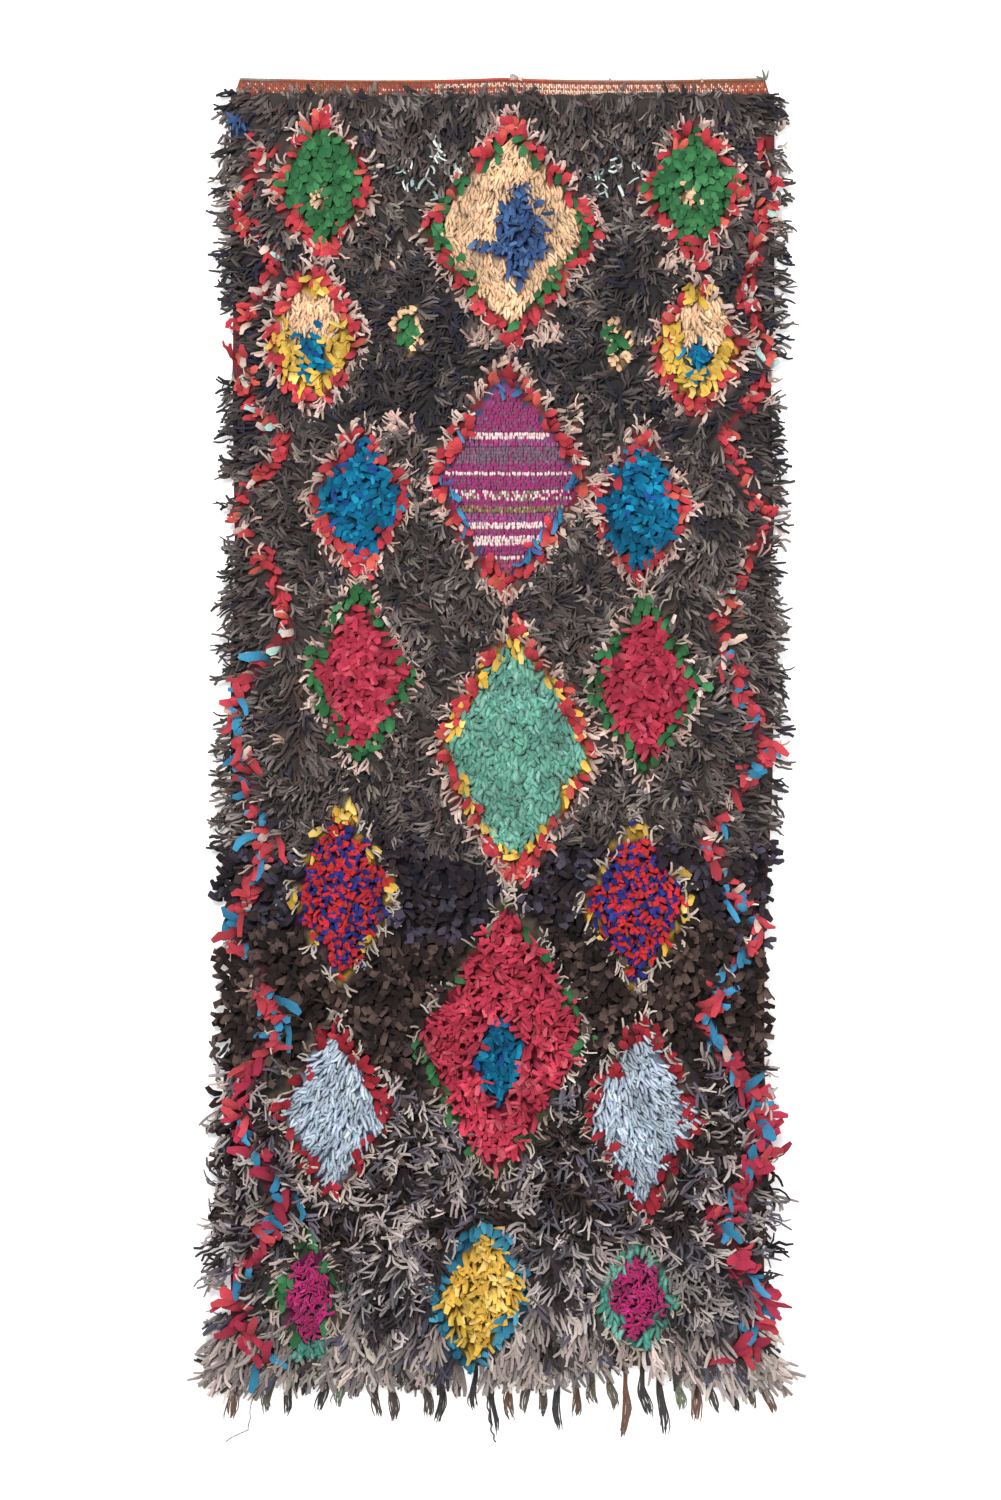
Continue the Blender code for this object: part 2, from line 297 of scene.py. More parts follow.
# Small shapes laid over the lozenges and the field
SHAPE_COLUMNS = ("x", "y", "half_width", "half_height", "power", "bed")
SHAPES = (
    (-0.352, 1.072, 0.020, 0.036, 1.0, "peach_bits"),
    (0.357, 1.068, 0.024, 0.030, 0.9, "peach_bits"),
    (0.028, 0.996, 0.046, 0.108, 1.10, "denim"),
    (0.026, 0.970, 0.080, 0.032, 1.10, "denim"),
    (-0.362, 0.835, 0.056, 0.062, 2.0, "peach"),
    (0.380, 0.825, 0.050, 0.055, 2.0, "peach"),
    (-0.362, 0.890, 0.016, 0.018, 1.5, "yellow"),
    (0.372, 0.876, 0.024, 0.016, 1.5, "yellow"),
    (-0.364, 0.762, 0.030, 0.056, 1.3, "blue"),
    (0.376, 0.757, 0.027, 0.048, 1.3, "blue"),
    (-0.008, -0.574, 0.054, 0.090, 1.1, "blue"),
    (-0.365, -1.126, 0.046, 0.028, 1.5, "aqua"),
    (-0.182, 0.810, 0.032, 0.054, 1.2, "peach_bits"),
    (-0.182, 0.812, 0.018, 0.038, 1.2, "green"),
    (0.218, 0.787, 0.032, 0.052, 1.2, "peach_bits"),
    (0.216, 0.790, 0.019, 0.038, 1.2, "green"),
    (-0.142, 1.118, 0.054, 0.058, 1.6, "pale_specks"),
    (0.205, 1.108, 0.046, 0.056, 1.6, "pale_specks"),
    (-0.300, -0.104, 0.020, 0.024, 1.5, "yellow"),
    (-0.225, 0.935, 0.020, 0.014, 1.5, "pink"),
    (-0.043, 0.806, 0.030, 0.022, 1.5, "pink"),
    (0.090, 0.806, 0.030, 0.022, 1.5, "pink"),
    (0.318, 0.948, 0.022, 0.020, 1.5, "pink"),
    (-0.208, 0.632, 0.034, 0.018, 1.5, "pink"),
    (0.135, 0.640, 0.018, 0.030, 1.5, "pink"),
    (-0.425, 0.030, 0.014, 0.012, 1.5, "pink"),
    (-0.174, -0.213, 0.032, 0.009, 1.5, "denim"),
    (-0.105, -0.288, 0.020, 0.012, 1.5, "pale_specks"),
    (-0.502, 1.205, 0.022, 0.024, 1.5, "denim"),
)

ZIGZAG_LEFT = (
    (-0.490, 1.200), (-0.448, 1.157), (-0.506, 1.060), (-0.495, 0.998), (-0.424, 0.945),
    (-0.468, 0.878), (-0.518, 0.795), (-0.480, 0.682), (-0.413, 0.587), (-0.516, 0.470),
    (-0.435, 0.355), (-0.408, 0.240), (-0.520, 0.118), (-0.489, -0.059), (-0.442, -0.173),
    (-0.520, -0.325), (-0.423, -0.496), (-0.520, -0.667), (-0.413, -0.838), (-0.527, -1.028),
    (-0.451, -1.170),
)
ZIGZAG_RIGHT = (
    (0.535, 1.205), (0.489, 1.157), (0.518, 1.091), (0.461, 0.901), (0.515, 0.739),
    (0.423, 0.606), (0.512, 0.454), (0.404, 0.255), (0.508, 0.017), (0.385, -0.154),
    (0.489, -0.325), (0.385, -0.496), (0.515, -0.724), (0.413, -0.886), (0.508, -1.047),
    (0.432, -1.170),
)
ZIGZAG_BEDS = (             # the rags change colour and grow longer on the way down
    {"top": 9.0, "bed": "zigzag_red", "half": 0.0130},
    {"top": 0.230, "bed": "zigzag_mixed", "half": 0.0140},
    {"top": -0.560, "bed": "zigzag_long", "half": 0.0185},
)
print(len(LOZENGES), "lozenges,", len(SHAPES), "small shapes")

# %% [markdown]
# A lozenge is the set of points where |across|^p + |along|^p is under 1. A power p of 1 gives
# straight sides, a larger one swells them as the crowded knots do, and a smaller one hollows them
# into a cross. The distance to the edge then says which layer a knot is in.

# %% Ask the chart
STRAY = 0.006               # how far an edge strays from its line, in metres
PINK_HALF = 0.024           # how far the pink knots beside a zigzag reach
PINK_ABOVE = 0.25           # they fill the patches above this
ZIGZAG_BELOW = 0.50         # and the rags of the zigzag fill those below this
LASH_REACH = 0.02           # knots this far outside a lozenge still turn away from it


def inside(x, y, middle, half, power):
    """How far inside a lozenge each point is: 1 at its middle, 0 on its edge."""
    across = np.abs(x - middle[0]) / half[0]
    along = np.abs(y - middle[1]) / half[1]
    return 1 - (across ** power + along ** power) ** (1 / power)


def distance_to_line(x, y, turns):
    """Distance from each point to the nearest stretch of a zigzag."""
    nearest = np.full(len(x), 9.0)
    for start, end in zip(turns, turns[1:]):
        run = (end[0] - start[0], end[1] - start[1])
        share = ((x - start[0]) * run[0] + (y - start[1]) * run[1]) / (run[0] ** 2 + run[1] ** 2)
        share = np.clip(share, 0.0, 1.0)
        gap = np.hypot(x - start[0] - share * run[0], y - start[1] - share * run[1])
        nearest = np.minimum(nearest, gap)
    return nearest


def chart(x, y):
    """The bed each point stands in, and the middle of the lozenge it belongs to."""
    u = x + STRAY * wander(x, y, 0.030, 3.3)
    v = np.round((y + STRAY * wander(x, y, 0.050, 7.7)) / KNOT_ROW) * KNOT_ROW
    patchy = wander(x, y, 0.022, 5.1)
    bed = np.full(len(x), "charcoal", dtype="U16")
    border = v + 0.030 * wander(x, y, 0.15, 9.9)
    for stretch in FIELD:
        bed[border < stretch["top"]] = stretch["bed"]
    middles = np.zeros((len(x), 2))
    for turns in (ZIGZAG_LEFT, ZIGZAG_RIGHT):
        gap = distance_to_line(u, v, turns)
        bed[(gap < PINK_HALF) & (patchy > PINK_ABOVE)] = "zigzag_pink"
        for stretch in ZIGZAG_BEDS:
            there = (gap < stretch["half"]) & (patchy < ZIGZAG_BELOW)
            bed[there & (border < stretch["top"])] = stretch["bed"]
    for row in LOZENGES:
        lozenge = dict(zip(LOZENGE_COLUMNS, row))
        half = (lozenge["half_width"], lozenge["half_height"])
        middle = (lozenge["x"], lozenge["y"])
        leant = u + lozenge.get("lean", 0.0) * (middle[1] - v)
        depth = inside(leant, v, middle, half, lozenge["power"])
        depth = depth * half[0] * half[1] / math.hypot(*half)
        layers = LAYERS[lozenge["layers"]]
        bed[depth > layers[0][1]] = layers[-1][0]
        middles[depth > -LASH_REACH] = middle
        outer = 0.0
        for name, width, share in layers[:-1]:
            there = (depth > outer) & (depth <= outer + width)
            there &= patchy < 2.4 * share - 1.2
            bed[there] = name
            outer += width
    for row in SHAPES:
        shape = dict(zip(SHAPE_COLUMNS, row))
        half = (shape["half_width"], shape["half_height"])
        bed[inside(u, v, (shape["x"], shape["y"]), half, shape["power"]) > 0] = shape["bed"]
    return bed, middles


# %% [markdown]
# ## Dyes
#
# Rags fade unevenly, so each bed of colour is a handful of shades and not one. The shades are
# written as hex codes, which a maker can match with a dye card, and are turned into the linear
# values that Blender wants.

# %% Mix the dyes
DYES = {
    "charcoal": (
        ("#5c5250", 5), ("#4c4442", 5), ("#3a3433", 5), ("#7a706b", 3), ("#312c34", 2), ("#503e3a", 1),
    ),
    "charcoal_dark": (("#494140", 5), ("#3a3434", 5), ("#2e2a2b", 5), ("#6a605c", 2), ("#292735", 3)),
    "navy_black": (("#2a2229", 5), ("#1f191f", 4), ("#403a48", 4), ("#322726", 2)),
    "brown_black": (("#281c1a", 5), ("#1d1413", 4), ("#52413c", 4), ("#2f2322", 2)),
    "black_beige": (("#362c2c", 4), ("#261e1f", 3), ("#968a88", 4), ("#b2a6a2", 3), ("#5e5862", 4)),
    "taupe": (("#928782", 6), ("#aa9c96", 5), ("#776d6c", 5), ("#4b4957", 2), ("#3a3433", 2), ("#c0b1aa", 2)),
    "taupe_dark": (("#837c7b", 5), ("#a89d9a", 4), ("#58535a", 5), ("#382f31", 3), ("#282222", 2)),
    "pink": (("#bca196", 5), ("#ad9084", 3), ("#c6b0a6", 3), ("#b48c86", 1)),
    "cream": (("#b5a79b", 4), ("#a39186", 3), ("#bfb2a8", 3)),
    "red": (("#a9363e", 5), ("#9b2c35", 4), ("#b34e43", 2)),
    "dark_red": (("#881e2a", 5), ("#761722", 4), ("#962a34", 2)),
    "rose": (("#a02d42", 5), ("#902437", 4), ("#aa4050", 2)),
    "crimson": (("#b2344a", 5), ("#a22b3f", 4), ("#ba4c59", 2)),
    "green": (("#2e633b", 5), ("#245431", 4), ("#387046", 2)),
    "blue": (("#006284", 5), ("#005276", 4), ("#127c9e", 2), ("#164684", 1)),
    "mid_blue": (("#3277a2", 5), ("#3e5c98", 2), ("#468cb2", 2)),
    "denim": (("#3d5a88", 5), ("#324c7a", 4), ("#4a6a96", 2)),
    "sky_blue": (("#2d6f88", 5), ("#3d8298", 3), ("#225f7c", 2)),
    "yellow": (("#cba64a", 5), ("#c2993c", 4), ("#d6b868", 2)),
    "peach": (("#d5af8a", 5), ("#cfa883", 4), ("#d8b795", 3)),
    "teal": (("#629b89", 5), ("#589280", 4), ("#74a797", 3), ("#4e8978", 2)),
    "aqua": (("#469482", 5), ("#6aa698", 4), ("#35826e", 2)),
    "magenta": (("#ae0e62", 5), ("#980a56", 3), ("#b82c79", 1)),
    "satin": (("#adbac7", 5), ("#9fadbc", 4), ("#bcc7d2", 3)),
    "nub_red": (("#b4242c", 4), ("#a82e2a", 2)),
    "nub_blue": (("#1d2468", 4), ("#26317e", 2)),
    "pale": (("#bfd0cc", 4), ("#a6c0bc", 3), ("#d4dad6", 3)),
    "zigzag_red": (("#a9363e", 5), ("#9b2c35", 4), ("#b34e43", 2), ("#bda79c", 2), ("#9dbab5", 1)),
    "zigzag_mixed": (("#a83842", 6), ("#337a9c", 3), ("#bba093", 1)),
    "zigzag_long": (("#9c2c42", 6), ("#337a9c", 2), ("#aa3c44", 2)),
    "loop_magenta": (("#98296a", 6), ("#8a3c68", 2), ("#7c526e", 1)),
    "loop_white": (("#e8d0cc", 6), ("#d4aab6", 2)),
    "loop_pink": (("#a05084", 4), ("#7e527c", 3), ("#a4216c", 2)),
    "loop_grey": (("#6e566a", 5), ("#7e5e74", 3), ("#92386a", 1)),
    "loop_mottled": (("#dcc4c0", 4), ("#807e64", 2), ("#a4216c", 3)),
    "loop_olive": (("#7c6844", 5), ("#a89070", 2), ("#a04a70", 1)),
    "loop_brown": (("#a03a64", 4), ("#8c4a50", 3), ("#c8486c", 1)),
    "stitch_orange": (("#bb5a3a", 5), ("#a44a31", 3), ("#c87048", 2)),
    "stitch_red": (("#a64039", 5), ("#903a36", 3), ("#b8544a", 2)),
    "stitch_cream": (("#f0dac0", 5), ("#f6e8d4", 3), ("#dcbc9e", 2)),
    "stitch_brown": (("#86503a", 5), ("#6c5240", 3)),
    "stitch_pink": (("#d87e70", 4), ("#c86058", 3)),
    "tail_grey": (("#6c7064", 1),),
    "stray": (("#3c3634", 1),),
    "fringe": (("#5d574a", 4), ("#34302f", 4), ("#6b4d3c", 3), ("#6d735f", 2), ("#4a4038", 3)),
}


def linear(code):
    """A hex colour code as linear red, green and blue."""
    parts = np.array([int(code[place:place + 2], 16) / 255 for place in (1, 3, 5)])
    return np.where(parts <= 0.04045, parts / 12.92, ((parts + 0.055) / 1.055) ** 2.4)


def dye(name, count, chance):
    """A shade of the named dye for each of count strands, with a little unevenness."""
    shades = np.array([linear(code) for code, _ in DYES[name]])
    weights = np.array([weight for _, weight in DYES[name]], float)
    picked = shades[chance.choice(len(shades), count, p=weights / weights.sum())]
    return picked * chance.uniform(0.82, 1.16, (count, 1)) * chance.uniform(0.96, 1.04, (count, 3))


print(len(DYES), "dyes")

# %% [markdown]
# ## Cloth and yarn finishes
#
# Rag jersey is matt, with a fine knit that shows close up. Wool is fuzzy, so it gets sheen. The
# pale blue ribbon is satin and shines. All of them take their colour from an attribute on the mesh
# named dye: the strand's own dye, with painted shade towards the roots of the pile's strands and in
# its bed. A faint mottle and a bump go on top.

# %% Make the finishes
def add_node(material, kind, **values):
    """A new shader node, with some of its inputs set."""
    node = material.node_tree.nodes.new("ShaderNode" + kind)
    for name, value in values.items():
        node.inputs[name.replace("_", " ")].default_value = value
    return node


def dyed_finish(name, roughness, sheen, grain, depth, folds):
    """A cloth whose colour is the attribute dye, which holds dye and painted shade, with a mottle, soft folds
    and a fine grain.
    """
    material = plain_material(name, (0.5, 0.5, 0.5), roughness)
    shader = material.node_tree.nodes["Principled BSDF"]
    shader.inputs["Sheen Weight"].default_value = sheen
    shader.inputs["Sheen Roughness"].default_value = 0.5
    shader.inputs["Specular IOR Level"].default_value = 0.18
    colour = add_node(material, "Attribute")
    colour.attribute_name = "dye"
    place = add_node(material, "TexCoord").outputs["Object"]
    mottle = add_node(material, "TexNoise", Scale=170.0, Detail=3.0)
    strength = add_node(material, "MapRange", To_Min=0.78, To_Max=1.22)
    shaded = add_node(material, "VectorMath")
    shaded.operation = "SCALE"
    weave = add_node(material, "TexNoise", Scale=grain, Detail=2.0)
    bump = add_node(material, "Bump", Strength=0.6, Distance=depth)
    crumple = add_node(material, "Bump", Strength=0.7, Distance=folds)
    for source, into in (
        (place, mottle.inputs["Vector"]), (mottle.outputs["Fac"], strength.inputs["Value"]),
        (colour.outputs["Color"], shaded.inputs["Vector"]),
        (strength.outputs["Result"], shaded.inputs["Scale"]),
        (shaded.outputs["Vector"], shader.inputs["Base Color"]), (place, weave.inputs["Vector"]),
        (weave.outputs["Fac"], bump.inputs["Height"]), (mottle.outputs["Fac"], crumple.inputs["Height"]),
        (crumple.outputs["Normal"], bump.inputs["Normal"]), (bump.outputs["Normal"], shader.inputs["Normal"]),
    ):
        material.node_tree.links.new(source, into)
    return material


FINISHES = {
    "jersey": dyed_finish("jersey_rag", 0.90, 0.06, 900.0, 0.0006, 0.0045),
    "wool": dyed_finish("wool_yarn", 0.95, 0.20, 1400.0, 0.0006, 0.0020),
    "satin": dyed_finish("satin_ribbon", 0.48, 0.0, 500.0, 0.0002, 0.0020),
    "warp": dyed_finish("warp_yarn_plied", 0.90, 0.20, 1100.0, 0.0005, 0.0010),
}
print("finishes:", ", ".join(FINISHES))

# %% [markdown]
# ## One strand, then thousands
#
# Every tuft starts as the same short tube: a ring of points that bmesh pulls up in a few steps,
# with both ends closed. Thousands of such tubes would be slow as objects, so the tube is read
# into arrays once. numpy then bends a copy of it along the path of each strand, and the copies
# are joined in one mesh.

# %% Model the straight strand
def straight_strand(sides, steps):
    """A closed tube one unit tall, pulled up from a circle, as arrays."""
    bm = bmesh.new()
    bmesh.ops.create_circle(bm, cap_ends=True, segments=sides, radius=1.0)
    top = bm.faces[:]
    for step in range(steps):
        made = bmesh.ops.extrude_face_region(bm, geom=top, use_keep_orig=True)["geom"]
        if step:
            bmesh.ops.delete(bm, geom=top, context="FACES_ONLY")
        top = [item for item in made if isinstance(item, bmesh.types.BMFace)]
        rim = [item for item in made if isinstance(item, bmesh.types.BMVert)]
        bmesh.ops.translate(bm, verts=rim, vec=(0.0, 0.0, 1.0))
    bmesh.ops.recalc_face_normals(bm, faces=bm.faces)
    bm.verts.index_update()
    points = np.array([vert.co[:] for vert in bm.verts])
    side = np.round(np.arctan2(points[:, 1], points[:, 0]) / (2 * np.pi / sides)).astype(int) % sides
    corners, sizes, cells = [], [], []
    for face in bm.faces:
        ring = [vert.index for vert in face.verts]
        corners += ring
        sizes.append(len(ring))
        level = points[ring, 2]
        if level.max() == level.min():          # an end: a small patch beside the sides
            row = 0.25 if level[0] == 0 else 0.75
            cells += [(0.90 + 0.07 * points[i, 0], row + 0.15 * points[i, 1]) for i in ring]
        else:
            wraps = set(side[ring]) == {0, sides - 1}
            turn = [sides if wraps and side[i] == 0 else side[i] for i in ring]
            cells += [(0.8 * k / sides, points[i, 2] / steps) for k, i in zip(turn, ring)]
    bm.free()
    return {
        "section": points[:, :2], "ring": np.round(points[:, 2]).astype(int), "steps": steps,
        "corners": np.array(corners), "sizes": np.array(sizes), "cells": np.array(cells),
    }


print("a strand of 3 sides and 4 steps has", len(straight_strand(3, 4)["sizes"]), "faces")

# %% [markdown]
# Sweeping is the same for every yarn in the rug. The tube's rings are carried along a path, each
# square to it, and are made as wide and as thick as the yarn is there. Rags are crumpled by moving
# each point a little in or out. Nothing may sink through the floor, so low points are lifted.

# %% Sweep copies of it along paths
FLOOR_CLEAR = 0.0008        # lowest that a strand may lie
CREST = 0.0505              # highest that a tuft may rise
CREASE = 42                 # folds sharper than this many degrees stay sharp


def unit(vectors):
    """The same directions, one unit long."""
    return vectors / (np.linalg.norm(vectors, axis=-1, keepdims=True) + 1e-9)


def sweep(strand, path, wide, thick, roll, crumple, chance):
    """Points of a copy of the strand laid along each path, as an array (path, point, axis)."""
    run = path[:, 1:] - path[:, :-1]
    ahead = unit(np.concatenate([run[:, :1], run[:, 1:] + run[:, :-1], run[:, -1:]], axis=1))
    level = np.stack([-ahead[:, :, 1], ahead[:, :, 0], np.zeros(ahead.shape[:2])], axis=2)
    level = unit(level)
    upper = np.cross(ahead, level)
    turn = np.broadcast_to(roll, ahead.shape[:2])[:, :, None]
    across = np.cos(turn) * level + np.sin(turn) * upper
    through = np.cos(turn) * upper - np.sin(turn) * level
    ring, section = strand["ring"], strand["section"]
    wide = np.broadcast_to(wide, ahead.shape[:2])[:, ring] / 2
    thick = np.broadcast_to(thick, ahead.shape[:2])[:, ring] / 2
    bulge = 1 + crumple * chance.uniform(-1.0, 1.0, (len(path), len(ring)))
    points = path[:, ring]
    points = points + across[:, ring] * (section[None, :, 0] * wide * bulge)[:, :, None]
    points = points + through[:, ring] * (section[None, :, 1] * thick * bulge)[:, :, None]
    points[:, :, 2] = np.maximum(points[:, :, 2], FLOOR_CLEAR + 0.0004 * (section[None, :, 1] + 1))
    return points


def dye_points(mesh, colours):
    """Keep a colour for each point of a mesh, as the attribute dye."""
    colours = colours.reshape(-1, 3)
    # The attribute holds the colours as given: rag dye, and for the pile and its bed painted shade too.
    shades = mesh.attributes.new("dye", "FLOAT_COLOR", "POINT")
    shades.data.foreach_set("color", np.hstack([colours, np.ones((len(colours), 1))]).ravel())


def join_strands(name, strand, bends, dyes, finish):
    """One mesh of many bent strands, with their colours (dye, and painted shade where the caller laid it in)
    and a cell of the map for each.
    """
    points = np.concatenate(bends)
    count, size = points.shape[:2]
    corners = (strand["corners"][None, :] + size * np.arange(count)[:, None]).ravel()
    sizes = np.tile(strand["sizes"], count)
    starts = np.concatenate([[0], np.cumsum(sizes)[:-1]])
    mesh = bpy.data.meshes.new(name)
    mesh.vertices.add(count * size)
    mesh.vertices.foreach_set("co", points.ravel())
    mesh.loops.add(len(corners))
    mesh.loops.foreach_set("vertex_index", corners.astype(np.int32))
    mesh.polygons.add(len(sizes))
    mesh.polygons.foreach_set("loop_start", starts.astype(np.int32))
    mesh.update(calc_edges=True)
    mesh.polygons.foreach_set("use_smooth", np.ones(len(sizes), bool))
    dye_points(mesh, np.concatenate(dyes))
    across = math.ceil(math.sqrt(count))
    cell = np.stack([np.arange(count) % across, np.arange(count) // across], axis=1)
    places = (cell[:, None, :] + 0.04 + 0.92 * strand["cells"][None, :, :]) / across
    mesh.uv_layers.new(name="OFBake").data.foreach_set("uv", places.ravel())
    if finish == "jersey":
        mesh.set_sharp_from_angle(angle=math.radians(CREASE))
    print(name, count, "strands,", count * int((strand["sizes"] - 2).sum()), "triangles")
    return add_piece(name, mesh, FINISHES[finish])


# %% [markdown]
# ## The kinds of yarn
#
# Nineteen kinds of strand make the pile, from 4 mm yarn to 20 mm pieces of jersey. Sizes are in
# metres and angles in degrees. A strand rises from its knot at the first angle and ends at the
# second. A knot may leave more than one end. These lie side by side as a small brush, which fans
# open by the last angle. Root shade says how dark the painted shade makes a strand at its root,
# low in the pile, and lift how far its root stands over the bed.

# %% Tabulate the yarns
YARN_COLUMNS = (
    "length", "width", "thick", "rise_from", "rise_to", "curl", "shake", "roll", "crumple", "tip", "fan",
    "root_shade", "lift",
)
YARN_SIZES = {              # length, width and thickness, each from and to
    "strip": ((0.028, 0.046), (0.0046, 0.0080), (0.0020, 0.0032)),
    "stub": ((0.014, 0.026), (0.0050, 0.0085), (0.0020, 0.0032)),
    "curly": ((0.036, 0.060), (0.0044, 0.0078), (0.0022, 0.0034)),
    "long": ((0.040, 0.066), (0.0056, 0.0096), (0.0024, 0.0036)),
    "longest": ((0.030, 0.058), (0.0058, 0.0100), (0.0024, 0.0036)),
    "trail": ((0.055, 0.084), (0.0058, 0.0100), (0.0024, 0.0036)),
    "block": ((0.026, 0.040), (0.0100, 0.0175), (0.0036, 0.0058)),
    "rag": ((0.026, 0.038), (0.0105, 0.0175), (0.0036, 0.0058)),
    "big_rag": ((0.040, 0.070), (0.0110, 0.0200), (0.0036, 0.0058)),
    "ribbon_rag": ((0.026, 0.040), (0.0085, 0.0145), (0.0030, 0.0046)),
    "rag_strip": ((0.028, 0.044), (0.0070, 0.0120), (0.0028, 0.0045)),
    "lock": ((0.024, 0.034), (0.0064, 0.0105), (0.0028, 0.0040)),
    "tuft": ((0.024, 0.036), (0.0090, 0.0155), (0.0034, 0.0050)),
    "velvet": ((0.018, 0.028), (0.0045, 0.0075), (0.0026, 0.0040)),
    "flat_lash": ((0.022, 0.034), (0.0062, 0.0110), (0.0022, 0.0034)),
    "lash": ((0.022, 0.042), (0.0036, 0.0064), (0.0022, 0.0032)),
    "ribbon": ((0.026, 0.038), (0.0052, 0.0080), (0.0022, 0.0032)),
    "nub": ((0.018, 0.028), (0.0076, 0.0120), (0.0044, 0.0064)),
    "loop": ((0.010, 0.012), (0.0040, 0.0052), (0.0032, 0.0042)),
}
YARN_BENDS = {              # rise from, rise to, curl, shake, roll, crumple, tip, fan, root shade (painted), lift
    "strip": ((45, 72), (-25, 5), 80, 11, 50, 0.12, 0.75, 15, 0.42, -0.002),
    "stub": ((20, 50), (-15, 5), 60, 9, 50, 0.12, 0.75, 26, 0.60, -0.002),
    "curly": ((45, 75), (-25, 10), 130, 12, 50, 0.10, 0.75, 15, 0.38, 0.000),
    "long": ((38, 60), (-24, -4), 60, 10, 40, 0.12, 0.75, 9, 0.42, -0.002),
    "longest": ((10, 26), (-14, -4), 40, 7, 40, 0.12, 0.75, 9, 0.42, -0.002),
    "trail": ((8, 22), (-12, -4), 30, 6, 40, 0.12, 0.75, 9, 0.42, -0.002),
    "block": ((45, 75), (-10, 25), 50, 12, 50, 0.24, 0.70, 35, 0.40, -0.002),
    "rag": ((38, 62), (-16, 8), 50, 12, 28, 0.22, 0.55, 35, 0.48, 0.002),
    "big_rag": ((35, 60), (-18, 5), 50, 12, 34, 0.24, 0.55, 35, 0.35, 0.001),
    "ribbon_rag": ((38, 62), (-14, 10), 70, 14, 30, 0.20, 0.60, 35, 0.50, 0.001),
    "rag_strip": ((45, 75), (-10, 15), 80, 12, 60, 0.20, 0.75, 40, 0.40, 0.001),
    "lock": ((22, 38), (-8, 3), 30, 9, 16, 0.12, 0.50, 12, 1.00, 0.001),
    "tuft": ((28, 48), (-10, 5), 60, 12, 20, 0.22, 0.55, 24, 0.84, 0.001),
    "velvet": ((45, 70), (-20, 10), 80, 12, 40, 0.12, 0.70, 30, 0.50, 0.003),
    "flat_lash": ((34, 58), (-16, 5), 60, 10, 30, 0.14, 0.70, 20, 0.60, 0.003),
    "lash": ((34, 60), (-22, 5), 140, 12, 50, 0.12, 0.75, 22, 0.50, 0.003),
    "ribbon": ((30, 50), (-10, 6), 40, 9, 26, 0.10, 0.80, 14, 0.76, 0.001),
    "nub": ((42, 70), (-8, 25), 60, 16, 50, 0.20, 0.75, 40, 0.50, 0.002),
    "loop": ((65, 80), (-80, -60), 10, 5, 8, 0.10, 0.80, 5, 0.70, 0.001),
}
YARNS = {
    name: dict(zip(YARN_COLUMNS, (*sizes, *YARN_BENDS[name]))) for name, sizes in YARN_SIZES.items()
}


def walk(yarn, roots, aim, steps, chance):
    """The path of each strand: out of its knot, over and down, curling sideways as it goes."""
    count = len(roots)
    between = (np.arange(steps)[None, :] + 0.5) / steps
    length = chance.uniform(*yarn["length"], (count, 1))
    rise_from = np.radians(chance.uniform(*yarn["rise_from"], (count, 1)))
    rise_to = np.radians(chance.uniform(*yarn["rise_to"], (count, 1)))
    shake = np.radians(yarn["shake"])
    curl = np.radians(yarn["curl"]) * chance.normal(0.0, 0.6, (count, 1))
    turn = aim[:, None] + curl * (between - 0.35) + chance.normal(0.0, shake, (count, steps))
    rise = rise_from + (rise_to - rise_from) * between + chance.normal(0.0, shake / 2, (count, steps))
    run = np.stack([np.cos(rise) * np.cos(turn), np.cos(rise) * np.sin(turn), np.sin(rise)], axis=2)
    path = np.concatenate([np.zeros((count, 1, 3)), np.cumsum(run, axis=1)], axis=1)
    return roots[:, None, :] + path * (length / steps)[:, :, None]


def bend_strands(strand, yarn, roots, aim, chance):
    """Points of one bent strand for each root."""
    steps = strand["steps"]
    count = len(roots)
    along = np.arange(steps + 1) / steps
    taper = np.interp(along, (0.0, 0.35, 0.8, 1.0), (0.65, 1.0, 1.0, yarn["tip"]))
    wide = chance.uniform(*yarn["width"], (count, 1)) * taper
    wide = wide * chance.uniform(0.88, 1.12, (count, steps + 1))
    thick = chance.uniform(*yarn["thick"], (count, 1)) * taper
    roll = np.radians(yarn["roll"]) * chance.normal(0.0, 0.6, (count, 1))
    path = walk(yarn, roots, aim, steps, chance)
    path[:, :, 2] = np.minimum(path[:, :, 2], CREST)
    return sweep(strand, path, wide, thick, roll, yarn["crumple"], chance)


# %% [markdown]
# Which way a tuft falls matters as much as its colour. At the sides it is brushed outwards, below
# the heading and towards the fringe it hangs down, and in the middle it sweeps this way and that.
# The tufts that line a lozenge stick out from its middle like lashes.

# %% Say which way the tufts fall
SIDE_BEGINS = 0.34          # tufts turn outwards from here
SIDE_FULL = 0.50            # and are brushed straight out here
FOOT_BEGINS = -0.86         # tufts start to hang towards the fringe
FOOT_DEPTH = 0.24
HEAD_BEGINS = 1.02          # tufts start to hang from the heading
HEAD_DEPTH = 0.14


